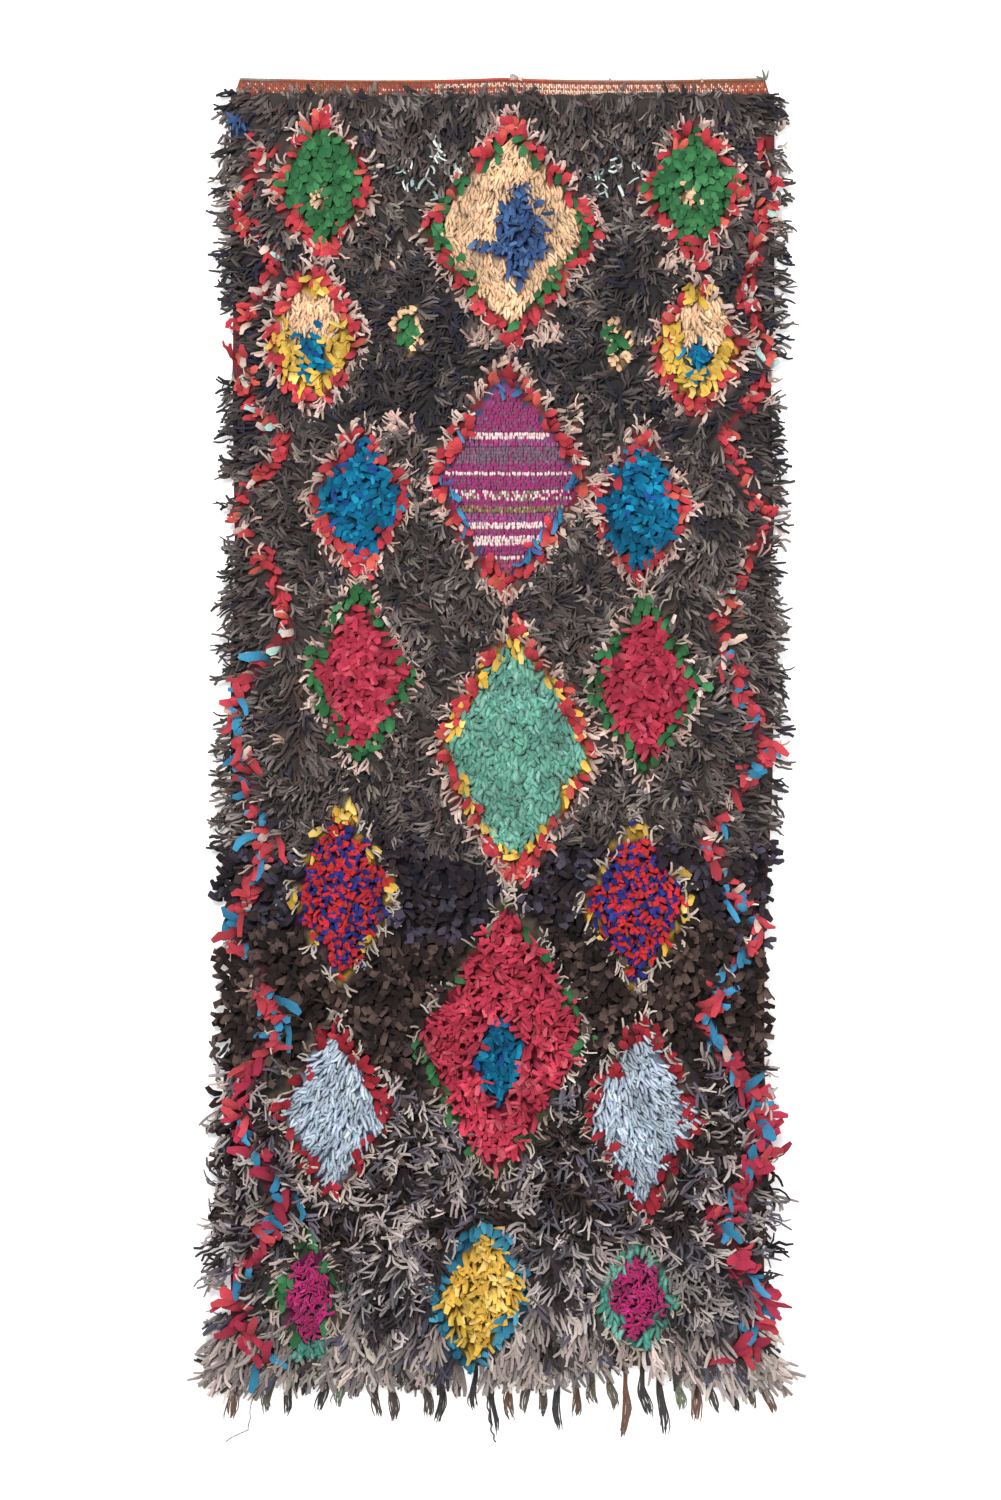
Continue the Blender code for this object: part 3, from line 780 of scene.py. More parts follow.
def fall(x, y, middles, habit, chance):
    """The direction each knot leans in, in radians, for a habit such as field or down."""
    count = len(x)
    side = np.sign(x) * ease((np.abs(x) - SIDE_BEGINS) / (SIDE_FULL - SIDE_BEGINS))
    foot = ease((FOOT_BEGINS - y) / FOOT_DEPTH)
    head = ease((y - HEAD_BEGINS) / HEAD_DEPTH)
    drift = 3.2 * wander(x, y, 0.14, 1.7)
    lean_x = 1.6 * side * (1 - 0.7 * foot) + 1.6 * x * foot
    lean_y = -(0.45 + 1.2 * foot + 0.9 * head)
    if habit == "field":
        loose = 1 - 0.85 * np.maximum(np.abs(side), np.maximum(foot, head))
        lean_x = lean_x + 0.9 * loose * np.cos(drift)
        lean_y = lean_y + 0.9 * loose * np.sin(drift)
        spread = 0.25 + 0.45 * loose
    elif habit == "curly":
        lean_x = lean_x + 1.2 * np.cos(drift)
        lean_y = lean_y + 1.2 * np.sin(drift)
        spread = 0.9
    elif habit == "down":
        lean_x = 0.25 * np.sin(drift) + 0.3 * side
        lean_y = -np.ones(count)
        spread = 0.25
    elif habit == "out":
        away = unit(np.stack([x, y], axis=1) - middles)
        lean_x = away[:, 0] + 0.6 * side
        lean_y = away[:, 1] - 0.35 - 0.5 * foot
        spread = 0.50
    elif habit == "ring":
        away = unit(np.stack([x, y], axis=1) - middles)
        lean_x = 0.7 * away[:, 0] + 0.5 * side
        lean_y = 0.7 * away[:, 1] - 0.45 - 0.5 * foot
        spread = 0.75
    elif habit == "fan":
        away = np.stack([x, y], axis=1) - middles
        lean_x = 7.0 * away[:, 0] + 0.4 * np.sign(middles[:, 0])
        lean_y = -0.7 + 2.0 * away[:, 1]
        spread = 0.25
    elif habit == "up":
        lean_x = 0.8 * np.sin(drift)
        lean_y = np.ones(count)
        spread = 0.7
    else:
        lean_x = 0.9 * side
        lean_y = -0.25 - 0.8 * foot
        spread = 1.10
    return np.arctan2(lean_y, lean_x) + spread * chance.normal(0.0, 1.0, count)


# %% [markdown]
# ## Knotting the pile
#
# Each row of the next table is a planting: the bed it fills, its yarn, its dye, the habit of its
# tufts, the distance between knots and the number of ends that each knot leaves. Plantings of one
# finish share a piece, so the charcoal strips, the green rags and the satin ribbons can each be
# picked up on their own.

# %% Tabulate the plantings
PLANTING_COLUMNS = ("bed", "yarn", "dye", "habit", "spacing", "ends")
BAND_BREAK = 0.47           # the charcoal field is so large that it is two pieces, parted here
STRIP = {"sides": 3, "steps": 4, "finish": "jersey"}
RAG = {"sides": 4, "steps": 4, "finish": "jersey"}
CUT = {"sides": 4, "steps": 3, "finish": "jersey"}
NUB = {"sides": 4, "steps": 2, "finish": "jersey"}
WOOL = {"sides": 3, "steps": 4, "finish": "wool"}
SATIN = {"sides": 4, "steps": 3, "finish": "satin"}
PIECES = (
    {"name": "charcoal_strips_head", "band": (BAND_BREAK, 9.0), **STRIP, "plantings": (
        ("charcoal", "strip", "charcoal", "field", 0.0162, 4),
        ("charcoal_dark", "strip", "charcoal_dark", "field", 0.0162, 4),
        ("pale_specks", "strip", "charcoal", "field", 0.0170, 2),
        ("pale_specks", "lash", "pale", "field", 0.0260, 2),
        ("head_edge", "stub", "charcoal", "up", 0.0115, 3),
    )},
    {"name": "charcoal_strips_middle", "band": (-9.0, BAND_BREAK), **STRIP, "plantings": (
        ("charcoal", "strip", "charcoal", "field", 0.0162, 4),
    )},
    {"name": "black_blocks", **CUT, "plantings": (
        ("navy_black", "block", "navy_black", "loose", 0.0155, 2),
        ("brown_black", "block", "brown_black", "loose", 0.0155, 2),
        ("black_beige", "block", "brown_black", "loose", 0.0250, 1),
    )},
    {"name": "grey_curls", **STRIP, "plantings": (
        ("black_beige", "curly", "black_beige", "curly", 0.0205, 4),
        ("taupe_dark", "curly", "taupe_dark", "field", 0.0195, 5),
        ("taupe", "long", "taupe", "field", 0.0190, 5),
        ("foot_edge", "longest", "taupe", "field", 0.0130, 3),
        ("corner_edge", "trail", "taupe", "field", 0.0130, 3),
    )},
    {"name": "pink_lashes", **STRIP, "plantings": (
        ("pink", "flat_lash", "pink", "out", 0.0145, 1),
        ("pink", "lash", "pink", "out", 0.0158, 2),
        ("cream", "lash", "cream", "out", 0.0125, 2),
        ("zigzag_pink", "lash", "pink", "loose", 0.0200, 2),
    )},
    {"name": "red_rags", **RAG, "plantings": (
        ("red", "rag", "red", "ring", 0.0080, 1),
        ("dark_red", "rag", "dark_red", "ring", 0.0086, 1),
        ("zigzag_red", "ribbon_rag", "zigzag_red", "loose", 0.0092, 1),
        ("zigzag_mixed", "rag", "zigzag_mixed", "loose", 0.0120, 1),
        ("zigzag_mixed", "big_rag", "zigzag_mixed", "loose", 0.0125, 1),
        ("zigzag_long", "big_rag", "zigzag_long", "loose", 0.0098, 1),
    )},
    {"name": "rose_rags", **CUT, "plantings": (
        ("rose", "ribbon_rag", "rose", "loose", 0.0098, 1),
        ("crimson", "rag_strip", "crimson", "loose", 0.0130, 2),
    )},
    {"name": "green_rags", **RAG, "plantings": (
        ("green", "rag", "green", "down", 0.0098, 1),
        ("peach_bits", "nub", "peach", "down", 0.0080, 1),
    )},
    {"name": "blue_rags", **CUT, "plantings": (
        ("blue", "ribbon_rag", "blue", "loose", 0.0096, 1),
        ("mid_blue", "rag_strip", "mid_blue", "down", 0.0085, 1),
        ("sky_blue", "rag", "sky_blue", "down", 0.0110, 1),
        ("denim", "rag_strip", "denim", "down", 0.0092, 1),
    )},
    {"name": "yellow_rags", **CUT, "plantings": (
        ("yellow", "ribbon_rag", "yellow", "down", 0.0090, 1),
        ("yellow_strip", "rag_strip", "yellow", "down", 0.0130, 2),
    )},
    {"name": "teal_wool", **WOOL, "plantings": (
        ("teal", "tuft", "teal", "down", 0.0098, 2),
        ("aqua", "tuft", "aqua", "down", 0.0110, 2),
    )},
    {"name": "peach_wool", **WOOL, "plantings": (
        ("peach", "lock", "peach", "down", 0.0095, 2),
        ("magenta", "velvet", "magenta", "loose", 0.0090, 2),
    )},
    {"name": "satin_ribbons", **SATIN, "plantings": (
        ("satin", "ribbon", "satin", "fan", 0.0105, 2),
    )},
    {"name": "two_colour_nubs", **NUB, "plantings": (
        ("nubs", "nub", "nub_red", "loose", 0.0100, 1),
        ("nubs", "nub", "nub_blue", "loose", 0.0114, 1),
    )},
)

# %% [markdown]
# The chart says which colour shows at each place, and a tuft shows where it comes to lie, not at
# its knot. So each knot first leans, then asks the chart further on along its tuft. A knot whose
# tuft would cover another bed is left out. A tuft of the field may lie over any part of the field,
# and the lashes may stick out.

# %% Knot every bed
SHOWS_AT = {                # shares of a tuft's length, from its knot, that must be in its bed
    "ring": (0.28, 0.60),
    "out": (0.35,),
    "down": (0.30, 0.75),
    "loose": (0.20, 0.65),
    "fan": (0.30, 0.75),
}
FIELD_BEGINS_AT = 0.30      # a field tuft is in its own bed here
FIELD_SHOWS_AT = 0.62       # and in any part of the field here
HEAD_EDGE = 0.012           # depth of the row of short ends under the heading
FOOT_EDGE = 0.022           # depth of the row of long ends over the fringe
CORNER_EDGE = 0.026         # depth of the row of longest ends at its corners
CORNER_BEGINS = 0.40
BRUSH = 0.32                # how far the ends of a knot part, as a share of their width


def knot_places(spacing, chance):
    """Places of the knots over the whole pile, in rows a spacing apart, a little uneven."""
    columns = np.arange(-PILE_HALF, PILE_HALF, spacing)
    rows = np.arange(PILE_BOTTOM, PILE_TOP, spacing)
    x, y = [grid.ravel() for grid in np.meshgrid(columns, rows)]
    x = np.clip(x + spacing * chance.uniform(-0.5, 0.5, len(x)), -PILE_HALF, PILE_HALF)
    y = np.clip(y + spacing * chance.uniform(-0.4, 0.4, len(y)), PILE_BOTTOM, PILE_TOP)
    return x, y


def bed_along(x, y, aim, reach):
    """The bed under each tuft at a distance from its knot."""
    return chart(x + reach * np.cos(aim), y + reach * np.sin(aim))[0]


def strand_shade(strand, roots, root_shade, chance):
    """Painted shade along each strand: dark at its root, low in the pile, full and a little lighter at its
    end; random darker and lighter patches of rag tone on top.
    """
    along = strand["ring"] / strand["steps"]
    shade = np.interp(along, (0.0, 0.3, 0.6, 1.0), (root_shade, (1 + root_shade) / 2, 0.97, 1.06))
    patch = 1 + 0.22 * wander(roots[:, 0], roots[:, 1], 0.050, 4.4)
    return shade[None, :] * patch[:, None] * chance.uniform(0.93, 1.07, (len(roots), len(along)))


def plant(row, strand, band, chance):
    """The strands of one planting and their colours: dye, with painted shade towards each root."""
    yarn = YARNS[row["yarn"]]
    x, y = knot_places(row["spacing"], chance)
    kept = (y > band[0]) & (y <= band[1])
    kept &= (np.abs(x) <= PILE_HALF - drawn_in(x, y)) & (y >= foot_line(x))
    if row["bed"] == "head_edge":
        kept &= y > PILE_TOP - HEAD_EDGE
    if row["bed"] == "foot_edge":
        kept &= y < foot_line(x) + FOOT_EDGE
    if row["bed"] == "corner_edge":
        kept &= (y < PILE_BOTTOM + CORNER_EDGE) & (np.abs(x) > CORNER_BEGINS)
    x, y = x[kept], y[kept]
    bed, middles = chart(x, y)
    aim = fall(x, y, middles, row["habit"], chance)
    if row["bed"] == "head_edge":
        kept = wander(x, y, 0.030, 6.6) > -0.2
    elif row["bed"] in ("foot_edge", "corner_edge"):
        kept = np.isin(bed, ("taupe", "zigzag_pink", "zigzag_long"))
    else:
        field = row["bed"] in FIELD_BEDS
        kept = np.ones(len(x), bool)
        for share in (FIELD_BEGINS_AT,) if field else SHOWS_AT[row["habit"]]:
            kept &= bed_along(x, y, aim, share * np.mean(yarn["length"])) == row["bed"]
        if field:
            there = bed_along(x, y, aim, FIELD_SHOWS_AT * np.mean(yarn["length"]))
            kept &= np.isin(there, FIELD_BEDS)
    x, y, aim = x[kept], y[kept], aim[kept]
    ends = row["ends"]
    colour = np.repeat(dye(row["dye"], len(x), chance), ends, axis=0)
    colour = colour * chance.uniform(0.90, 1.10, (len(colour), 1))
    x, y, aim = [np.repeat(values, ends) for values in (x, y, aim)]
    aim = aim + np.radians(yarn["fan"]) * chance.normal(0.0, 1.0, len(aim))
    brush = np.mean(yarn["width"]) * BRUSH * (ends - 1 + (ends > 1))
    side_step = brush * chance.uniform(-1.0, 1.0, (2, len(x)))
    x, y = x + side_step[0], y + side_step[1]
    roots = np.stack([x, y, bed_height(x, y) + yarn["lift"]], axis=1)
    # painted shade: each strand darker towards its root, low in the pile
    shade = strand_shade(strand, roots, yarn["root_shade"], chance)
    return bend_strands(strand, yarn, roots, aim, chance), colour[:, None, :] * shade[:, :, None]


def knot_piece(row, seed):
    """All the strands of one piece."""
    chance = np.random.default_rng(seed)
    strand = straight_strand(row["sides"], row["steps"])
    bends, dyes = [], []
    for planting in row["plantings"]:
        planting = dict(zip(PLANTING_COLUMNS, planting))
        points, colours = plant(planting, strand, row.get("band", (-9.0, 9.0)), chance)
        bends.append(points)
        dyes.append(colours)
    return join_strands(row["name"], strand, bends, dyes, row["finish"])


pile_pieces = [knot_piece(row, 100 + number) for number, row in enumerate(PIECES)]

# %% [markdown]
# ## The looped lozenge
#
# One lozenge isn't cut pile. Its yarn runs in rows of small loops, and the weaver changed the ball
# every few rows, which gives the stripes. The stripes are listed from the top down, each with its
# height in millimetres and its dye.

# %% Loop the striped rows
STRIPES_BEGIN = 0.700
STRIPES = (
    (77, "loop_magenta"), (13, "loop_white"), (15, "loop_pink"), (29, "loop_grey"), (17, "loop_magenta"),
    (9, "loop_white"), (27, "loop_magenta"), (19, "loop_mottled"), (11, "loop_magenta"), (15, "loop_olive"),
    (17, "loop_pink"), (15, "loop_white"), (11, "loop_magenta"), (17, "loop_white"), (21, "loop_magenta"),
    (9, "loop_white"), (60, "loop_brown"),
)
LOOP_ROW = 0.0062
LOOP_PITCH = 0.0047


def loop_lozenge():
    """Rows of small loops over the looped bed, in stripes."""
    chance = np.random.default_rng(61)
    strand = straight_strand(4, 3)
    bends, dyes = [], []
    row_y = STRIPES_BEGIN
    for height, name in STRIPES:
        stripe_end = row_y - height / 1000
        rows = np.arange(row_y, stripe_end + LOOP_ROW / 2, -LOOP_ROW)
        x, y = [grid.ravel() for grid in np.meshgrid(np.arange(-0.16, 0.18, LOOP_PITCH), rows)]
        x = x + 0.0010 * chance.normal(0.0, 1.0, len(x))
        y = y + 0.0006 * chance.normal(0.0, 1.0, len(y)) + 0.002 * wander(x, y, 0.10, 8.8)
        bed, _ = chart(x, y)
        x, y = x[bed == "looped"], y[bed == "looped"]
        row_y = stripe_end
        if not len(x):
            continue
        roots = np.stack([x, y, bed_height(x, y) + 0.001], axis=1)
        aim = np.full(len(x), -math.pi / 2) + 0.12 * chance.normal(0.0, 1.0, len(x))
        bends.append(bend_strands(strand, YARNS["loop"], roots, aim, chance))
        # Painted shade and light on each loop: darker at both feet where it dips into the bed, lighter at its
        # crest.
        shade = np.interp(strand["ring"] / strand["steps"], (0.0, 0.5, 1.0), (0.7, 1.05, 0.8))
        dyes.append(dye(name, len(x), chance)[:, None, :] * shade[None, :, None])
    return join_strands("looped_rows", strand, bends, dyes, "wool")


pile_pieces.append(loop_lozenge())

# %% [markdown]
# ## The bed of packed rag
#
# Below the tufts the rags are pressed together. A grid is pulled up to the bed's height, closed
# underneath, and coloured with the colour of the knots above it made darker: painted shade low in
# the pile.

# %% Press the bed
BED_COLUMNS = 72
BED_ROWS = 164
BED_DRAWN_IN = 0.014        # the bed ends short of the outer knots
BED_LEAST = 0.004           # least height over the cloth
# Each bed colour is its knots' colour darkened: painted shade low in the pile, on a real bed of packed rag.
SHADED_BED_DYES = {
    "charcoal": "#383331", "charcoal_dark": "#2b2829", "navy_black": "#1a161c", "brown_black": "#191212",
    "black_beige": "#2b2525", "taupe": "#4c4648", "taupe_dark": "#373233", "pink": "#5e4642",
    "cream": "#4c423a", "red": "#6c2026", "dark_red": "#501219", "rose": "#701e2e", "crimson": "#6c1a2a",
    "green": "#1a4226", "blue": "#0c3c56", "mid_blue": "#1e4460", "denim": "#223458", "sky_blue": "#1c4c60",
    "yellow": "#98782e", "yellow_strip": "#96762c", "peach": "#c4a07c", "peach_bits": "#80664c",
    "teal": "#4a8977", "aqua": "#357866", "magenta": "#600c40", "satin": "#768292", "nubs": "#30102c",
    "looped": "#8c3468", "pale_specks": "#363231", "zigzag_pink": "#443a3a", "zigzag_red": "#6c2428",
    "zigzag_mixed": "#5c2a34", "zigzag_long": "#541e2a",
}

bm = bmesh.new()
bmesh.ops.create_grid(bm, x_segments=BED_COLUMNS, y_segments=BED_ROWS, size=1.0)
flat = np.array([vert.co[:] for vert in bm.verts])
bed_x = flat[:, 0] * (PILE_HALF - 0.004)
bed_y = PILE_BOTTOM + (flat[:, 1] + 1) / 2 * (PILE_TOP - PILE_BOTTOM)
bed_y = bed_y + 0.004 * wander(flat[:, 0], flat[:, 1], 0.06, 1.1)
bed_x = bed_x - flat[:, 0] * np.maximum(BED_DRAWN_IN, drawn_in(bed_x, bed_y))
bed_z = np.maximum(bed_height(bed_x, bed_y), CLOTH_TOP + BED_LEAST)
bed_z = bed_z + 0.0012 * wander(bed_x, bed_y, 0.012, 2.2)
for vert, place in zip(bm.verts, np.stack([bed_x, bed_y, bed_z], axis=1)):
    vert.co = place
rim = [edge for edge in bm.edges if edge.is_boundary]
drawn = bmesh.ops.extrude_edge_only(bm, edges=rim)["geom"]
for vert in [item for item in drawn if isinstance(item, bmesh.types.BMVert)]:
    vert.co.z = CLOTH_TOP
foot = [item for item in drawn if isinstance(item, bmesh.types.BMEdge) and item.is_boundary]
bmesh.ops.contextual_create(bm, geom=foot)
bmesh.ops.recalc_face_normals(bm, faces=bm.faces)
bed_mesh = mesh_from(bm, "packed_rag_bed")
bed_mesh.shade_smooth()
bed_points = np.array([vert.co[:] for vert in bed_mesh.vertices])
bed_names, _ = chart(bed_points[:, 0], bed_points[:, 1])
dye_points(bed_mesh, np.array([linear(SHADED_BED_DYES[name]) for name in bed_names]))
pile_pieces.append(add_piece("packed_rag_bed", bed_mesh, FINISHES["jersey"]))
print("bed:", len(bed_mesh.polygons), "faces")

# %% [markdown]
# ## The ground cloth and its heading
#
# The cloth under the pile shows only at the heading. Its sides wander a little, as handwoven
# selvedges do, and its top edge sags between the corners.

# %% Weave the sheet
CLOTH_WIDTH = 1.030
CLOTH_END = float(cloth_high.y) - 0.0029
CLOTH_BOTTOM = float(fringe_high.y) + 0.0003
SHEET_COLUMNS = 40
SHEET_ROWS = 80
SHEET_LOW = 0.0003
SHEET_HIGH = 0.0026
GROUND_DYE = "#8a4028"


def cloth_edge(y, side):
    """X of the selvedge at each y: drawn in at the heading's corners and below a narrow pile."""
    wave = 0.005 * wander(y, np.full(len(y), 3.7 * side * 0.60), 0.60, 0.0) / 2
    near_corner = ease((y - (CLOTH_END - 0.050)) / 0.050)
    tucked = np.maximum(0.0, drawn_in(np.full(len(y), float(side)), y) - 0.020)
    return side * (CLOTH_WIDTH / 2 + wave - 0.014 * near_corner - tucked)


def heading_edge(x):
    """Y of the cloth's top edge at each x, which sags on both sides of the middle."""
    share = np.abs(x) / (CLOTH_WIDTH / 2)
    return CLOTH_END - 0.006 * 4 * share * (1 - share) * (1 - 0.4 * share)


bm = bmesh.new()
bmesh.ops.create_grid(bm, x_segments=SHEET_COLUMNS, y_segments=SHEET_ROWS, size=1.0)
flat = np.array([vert.co[:] for vert in bm.verts])
sheet_y = CLOTH_BOTTOM + (flat[:, 1] + 1) / 2 * (CLOTH_END - CLOTH_BOTTOM)
sheet_x = np.abs(flat[:, 0]) * np.where(flat[:, 0] < 0, cloth_edge(sheet_y, -1), cloth_edge(sheet_y, 1))
sag = (CLOTH_END - heading_edge(sheet_x)) * ease((flat[:, 1] - 0.9) / 0.1)
for vert, x, y in zip(bm.verts, sheet_x, sheet_y - sag):
    vert.co = (x, y, SHEET_HIGH)
drawn = bmesh.ops.extrude_face_region(bm, geom=bm.faces[:], use_keep_orig=True)["geom"]
lower = [item for item in drawn if isinstance(item, bmesh.types.BMVert)]
bmesh.ops.translate(bm, verts=lower, vec=(0.0, 0.0, SHEET_LOW - SHEET_HIGH))
bmesh.ops.recalc_face_normals(bm, faces=bm.faces)
sheet_mesh = mesh_from(bm, "ground_weave")
dye_points(sheet_mesh, np.tile(linear(GROUND_DYE), (len(sheet_mesh.vertices), 1)))
ground_weave = add_piece("ground_weave", sheet_mesh, FINISHES["warp"])
print("sheet", round(CLOTH_END - CLOTH_BOTTOM, 3), "m long")

# %% [markdown]
# The heading is a band of weft stitches in orange, red and cream. Each stitch is a short bead of
# yarn of its own. The small repeats are charted by letters, one row of stitches a line: o orange,
# r red, c cream, b brown, p pink.

# %% Lay the stitches of the heading
STITCH_PITCH = 0.0034
STITCH_ROW = 0.0038
STITCH_ROWS = 9
STITCH_DYES = {
    "o": "stitch_orange", "r": "stitch_red", "c": "stitch_cream", "b": "stitch_brown", "p": "stitch_pink",
}
HEADING_CHARTS = (          # each begins at its left end, in metres from the middle
    {"from": -9.0, "rows": ("bbrb", "rbrc", "prbr", "rbpr", "prbp", "crrb", "rbrr", "rcrb", "bprr")},
    {"from": -0.445, "rows": ("bbob", "obbo", "orob", "bopc", "obrb", "bcob", "robc", "bcrc", "obro")},
    {"from": -0.225, "rows": ("bbbr", "rrbr", "rbrr", "crcr", "rrrb", "rprr", "crcc", "rrrr", "rrbr")},
    {"from": -0.130, "rows": ("rbrb", "crcc", "cccr", "rrpr", "opcr", "crcc", "rrrr", "ccrc", "rrrr")},
    {"from": 0.040, "rows": ("rbrr", "cccp", "cccc", "crpr", "cccc", "ccpc", "rrcr", "ccrc", "rrrr")},
    {"from": 0.185, "rows": ("brbb", "cccp", "occo", "rprc", "cccc", "ccrc", "rcrr", "cccc", "rrrr")},
    {"from": 0.330, "rows": ("bbbb", "bobc", "cooc", "rcop", "occc", "rrcr", "ccoc", "ocrc", "rrrr")},
    {"from": 0.440, "rows": ("bbbb", "oobo", "oocp", "oroo", "ocoo", "roor", "oopo", "rroo", "orrr")},
)


def stitch_heading():
    """Rows of stitches across the bare end of the cloth."""
    chance = np.random.default_rng(71)
    strand = straight_strand(3, 2)
    bends, dyes = [], []
    columns = np.arange(-CLOTH_WIDTH / 2 + 0.006, CLOTH_WIDTH / 2 - 0.004, STITCH_PITCH)
    for row in range(STITCH_ROWS):
        x = columns + 0.0003 * chance.normal(0.0, 1.0, len(columns))
        y = heading_edge(x) - 0.0045 - STITCH_ROW * row + 0.0003 * chance.normal(0.0, 1.0, len(x))
        names = []
        for number, place in enumerate(x):
            stretch = [each for each in HEADING_CHARTS if place > each["from"]][-1]["rows"][row]
            names.append(STITCH_DYES[stretch[number % len(stretch)]])
        kept = np.abs(x) < cloth_edge(y, 1) - 0.003
        x, y, names = x[kept], y[kept], np.array(names)[kept]
        along = np.array([0.5, 0.0, -0.5]) * 0.0046
        path = np.zeros((len(x), 3, 3))
        path[:, :, 0] = x[:, None] + 0.0003 * chance.normal(0.0, 1.0, (len(x), 3))
        path[:, :, 1] = y[:, None] + along
        path[:, :, 2] = SHEET_HIGH + np.array([0.0001, 0.0007, 0.0001])
        bends.append(sweep(strand, path, np.array([0.0026, 0.0033, 0.0026]), 0.0014, 0.0, 0.12, chance))
        colours = np.zeros((len(x), 3))
        for name in set(names):
            colours[names == name] = dye(name, int((names == name).sum()), chance)
        dyes.append(np.repeat(colours[:, None, :], len(strand["ring"]), axis=1))
    return join_strands("heading_stitches", strand, bends, dyes, "warp")


heading_stitches = stitch_heading()

# %% [markdown]
# The last rows are turned under and sewn down as a thin roll. It is one long strand swept along
# the top edge, with the winding of its thread as slight waists. A few yarn tails were never cut
# off: one stands up at the right corner, and a scrap of pink rag peeps over the middle.

# %% Roll the hem
HEM_STEPS = 420
HEM_RADIUS = 0.0027
HEM_DYES = (                # each begins at its left end
    (-9.0, "#7a7466"), (-0.430, "#8c5034"), (-0.200, "#96502f"), (-0.110, "#a8483a"), (0.045, "#b0503e"),
    (0.090, "#8a6450"), (0.330, "#84563a"), (0.470, "#7c6a58"),
)


def roll_hem():
    """The turned edge, as a strand along the top of the cloth."""
    chance = np.random.default_rng(81)
    strand = straight_strand(8, HEM_STEPS)
    corner = float(cloth_edge(np.array([CLOTH_END]), 1)[0])
    x = np.linspace(-corner, corner, HEM_STEPS + 1)
    path = np.stack([x, heading_edge(x), np.full(len(x), HEM_RADIUS + 0.0006)], axis=1)[None]
    waists = 1 + 0.10 * np.cos(np.arange(HEM_STEPS + 1) * math.pi)
    points = sweep(strand, path, 2 * HEM_RADIUS * waists, 2 * HEM_RADIUS, 0.0, 0.06, chance)
    shades = np.array([linear([code for start, code in HEM_DYES if place > start][-1]) for place in x])
    shades = shades * chance.uniform(0.80, 1.20, (len(x), 1))
    return join_strands("heading_hem", strand, [points], [shades[strand["ring"]][None]], "warp")


heading_hem = roll_hem()

# %% Leave the yarn tails
TAILS = (                   # root, direction in degrees, length, width, dye
    ((0.4990, 1.2960), 100, 0.020, 0.0050, "tail_grey"),
    ((0.5010, 1.2950), 72, 0.021, 0.0040, "tail_grey"),
    ((0.4960, 1.2955), 150, 0.014, 0.0050, "tail_grey"),
    ((0.0220, 1.2950), 118, 0.012, 0.0160, "pink"),
    ((0.0330, 1.2940), 80, 0.008, 0.0100, "pink"),
    ((0.3800, 1.2900), 95, 0.010, 0.0060, "pink"),
    ((0.2050, 1.2915), 100, 0.007, 0.0060, "pink"),
)


def leave_tails():
    """Short ends of yarn along the hem."""
    chance = np.random.default_rng(91)
    strand = straight_strand(5, 3)
    bends, dyes = [], []
    for (x, y), turn, length, width, name in TAILS:
        share = np.arange(4) / 3
        path = np.zeros((1, 4, 3))
        path[0, :, 0] = x + length * share * math.cos(math.radians(turn)) + 0.0010 * np.sin(4 * share)
        path[0, :, 1] = y + length * share * math.sin(math.radians(turn))
        path[0, :, 2] = 0.0062 - 0.0030 * share
        bends.append(sweep(strand, path, width * np.array([1.0, 1.1, 0.8, 0.4]), 0.0022, 0.1, 0.15, chance))
        dyes.append(np.repeat(dye(name, 1, chance)[:, None, :], len(strand["ring"]), axis=1))
    return join_strands("heading_tails", strand, bends, dyes, "warp")


heading_tails = leave_tails()

# %% [markdown]
# ## The fringe
#
# Below the last row the warp is left long and knotted in small bundles. Every tassel is a dozen
# threads that run together at the neck, pass through a knot and open in a brush. Two stray
# threads have worked loose.

# %% Knot the tassels
FRINGE_COLUMNS = 32
FRINGE_END = -float(solid_high.y)
STRIP_WIDTH = 0.008
THREADS = 12
BUNDLE_STATIONS = (0.0, 0.25, 0.45, 0.70, 0.88, 1.0)
BUNDLE_HALF = (0.0040, 0.0030, 0.0048, 0.0082, 0.0078, 0.0046)


def tassel_lines(chance):
    """For each tassel, its root, its length and how far its end strays sideways."""
    low = cloth_edge(np.array([CLOTH_BOTTOM]), -1)[0]
    high = cloth_edge(np.array([CLOTH_BOTTOM]), 1)[0]
    root_x = low + (high - low) * (np.arange(FRINGE_COLUMNS) + 0.5) / FRINGE_COLUMNS
    root_y = CLOTH_BOTTOM - 0.0003 - STRIP_WIDTH
    length = (root_y - FRINGE_END) * np.minimum(1.0, chance.uniform(0.74, 1.04, FRINGE_COLUMNS))
    sway = 0.045 * (2 * root_x / CLOTH_WIDTH) ** 3 + 0.007 * chance.uniform(-1, 1, FRINGE_COLUMNS)
    return root_x, root_y, length, sway


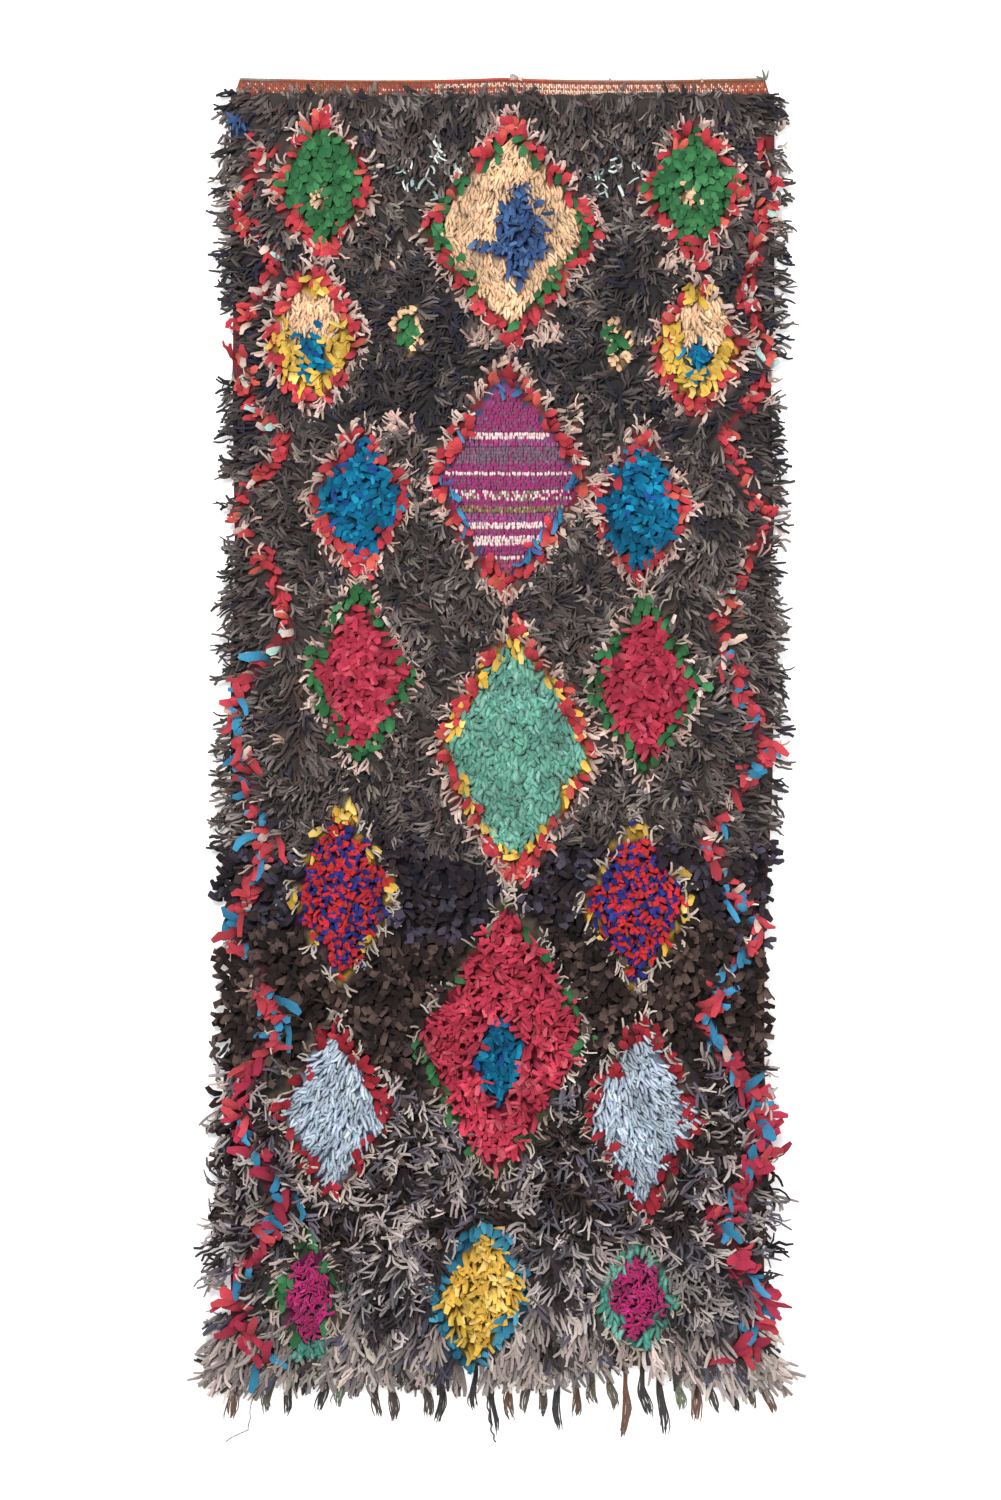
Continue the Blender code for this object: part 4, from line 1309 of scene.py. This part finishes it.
def knot_tassels():
    """The threads of every tassel, as one piece, and their knots, as another."""
    chance = np.random.default_rng(95)
    strand = straight_strand(3, 10)
    knot = straight_strand(6, 4)
    along = np.linspace(0.0, 1.0, 11)
    bends, dyes, knots, knot_dyes = [], [], [], []
    lines = zip(*[np.broadcast_to(part, FRINGE_COLUMNS) for part in tassel_lines(chance)])
    for number, (root_x, root_y, length, sway) in enumerate(lines):
        aside = np.linspace(-1.0, 1.0, THREADS)[:, None] * np.interp(along, BUNDLE_STATIONS, BUNDLE_HALF)
        aside = aside * chance.uniform(0.7, 1.2) + 0.006 * np.sin(chance.uniform(0, 6.3) + 5 * along) * along
        stray = chance.normal(0.0, 0.0024, (THREADS, 1)) * ease((along - 0.60) / 0.4)
        curl = 0.0012 * np.sin(chance.uniform(0, 6.3, (THREADS, 1)) + 9 * along)
        hidden = root_x < -0.03 and number % 3 == 1
        reach = 0.50 if hidden else chance.choice((0.74, 0.84, 0.92, 0.99))
        end = reach * chance.uniform(0.84, 1.0, (THREADS, 1))
        path = np.zeros((THREADS, 11, 3))
        path[:, :, 0] = root_x + sway * (along * end) ** 1.5 + aside + stray + curl
        path[:, :, 1] = root_y + 0.003 - length * along * end
        path[:, :, 2] = 0.0014 + 0.0012 * chance.uniform(0.0, 1.0, (THREADS, 1)) * np.sin(math.pi * along)
        path[:, :, 0] = np.clip(path[:, :, 0], -0.558, 0.558)
        thin = 0.0028 * np.interp(along, (0.0, 0.9, 1.0), (1.0, 1.0, 0.4))
        bends.append(sweep(strand, path, thin, 0.0018, 0.0, 0.15, chance))
        shade = dye("fringe", 1, chance) * chance.uniform(0.80, 1.20, (THREADS, 1))
        dyes.append(np.repeat(shade[:, None, :], len(strand["ring"]), axis=1))
        share = np.linspace(0.30, 0.42, 5)
        middle = np.zeros((1, 5, 3))
        middle[0, :, 0] = np.clip(root_x + sway * share ** 1.5, -0.553, 0.553)
        middle[0, :, 1] = root_y - length * share
        middle[0, :, 2] = 0.0030
        wide = np.array([0.0045, 0.0075, 0.0085, 0.0080, 0.0060])
        knots.append(sweep(knot, middle, wide, 0.0046, 0.0, 0.20, chance))
        knot_dyes.append(np.repeat(shade[:1, None, :], len(knot["ring"]), axis=1))
    threads = join_strands("fringe_tassels", strand, bends, dyes, "warp")
    return [threads, join_strands("fringe_knots", knot, knots, knot_dyes, "warp")]


fringe_pieces = knot_tassels()

# %% Lay the strip and the stray threads
STRAYS = (                  # turning points of each loose thread
    (
        (-0.474, -1.200), (-0.482, -1.250), (-0.485, -1.280), (-0.503, -1.288), (-0.520, -1.296),
        (-0.528, -1.303),
    ),
    (
        (-0.032, -1.190), (-0.030, -1.218), (-0.027, -1.245), (-0.024, -1.268), (-0.019, -1.288),
        (-0.013, -1.304),
    ),
)


def lay_strays():
    """Single threads that wander out over the floor."""
    chance = np.random.default_rng(97)
    strand = straight_strand(4, 40)
    share = np.linspace(0.0, 1.0, 41)
    path = np.zeros((len(STRAYS), 41, 3))
    for number, turns in enumerate(STRAYS):
        stations = np.linspace(0.0, 1.0, len(turns))
        wave = 0.0014 * np.sin(31 * share + number)
        path[number, :, 0] = np.interp(share, stations, [turn[0] for turn in turns]) + wave
        path[number, :, 1] = np.interp(share, stations, [turn[1] for turn in turns]) + 0.5 * wave
    path[:, :, 2] = 0.0016
    wide = np.array([[0.0016], [0.0030]])
    points = sweep(strand, path, wide, 0.0014, 0.0, 0.20, chance)
    colours = np.repeat(dye("stray", len(STRAYS), chance)[:, None, :], len(strand["ring"]), axis=1)
    return join_strands("stray_threads", strand, [points], [colours], "warp")


def lay_strip():
    """The narrow strip of weave that the tassels leave from."""
    chance = np.random.default_rng(98)
    strand = straight_strand(8, 60)
    low, high = [float(cloth_edge(np.array([CLOTH_BOTTOM]), side)[0]) for side in (-1, 1)]
    x = np.linspace(low, high, 61)
    y = np.full(61, CLOTH_BOTTOM - 0.0003 - STRIP_WIDTH / 2)
    path = np.stack([x, y, np.full(61, 0.0017)], axis=1)[None]
    points = sweep(strand, path, STRIP_WIDTH, 0.0024, 0.0, 0.05, chance)
    colours = np.repeat(dye("fringe", 1, chance)[:, None, :], len(strand["ring"]), axis=1)
    return join_strands("fringe_strip", strand, [points], [colours], "warp")


fringe_pieces += [lay_strays(), lay_strip()]

# %% [markdown]
# ## Let the pieces stand for the solids
#
# Nothing on a rug moves, so every piece rides on the one body.

heading = [heading_stitches, heading_hem, heading_tails]
STANDS_FOR = (
    (pile_pieces, "pile", "charcoal_rag"),
    ([ground_weave, *heading], "ground_cloth", "woven_orange"),
    (fringe_pieces, "warp_fringe", "warp_yarn"),
)
for pieces, node, slot in STANDS_FOR:
    for piece in pieces:
        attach(piece, "root")
        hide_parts(node)
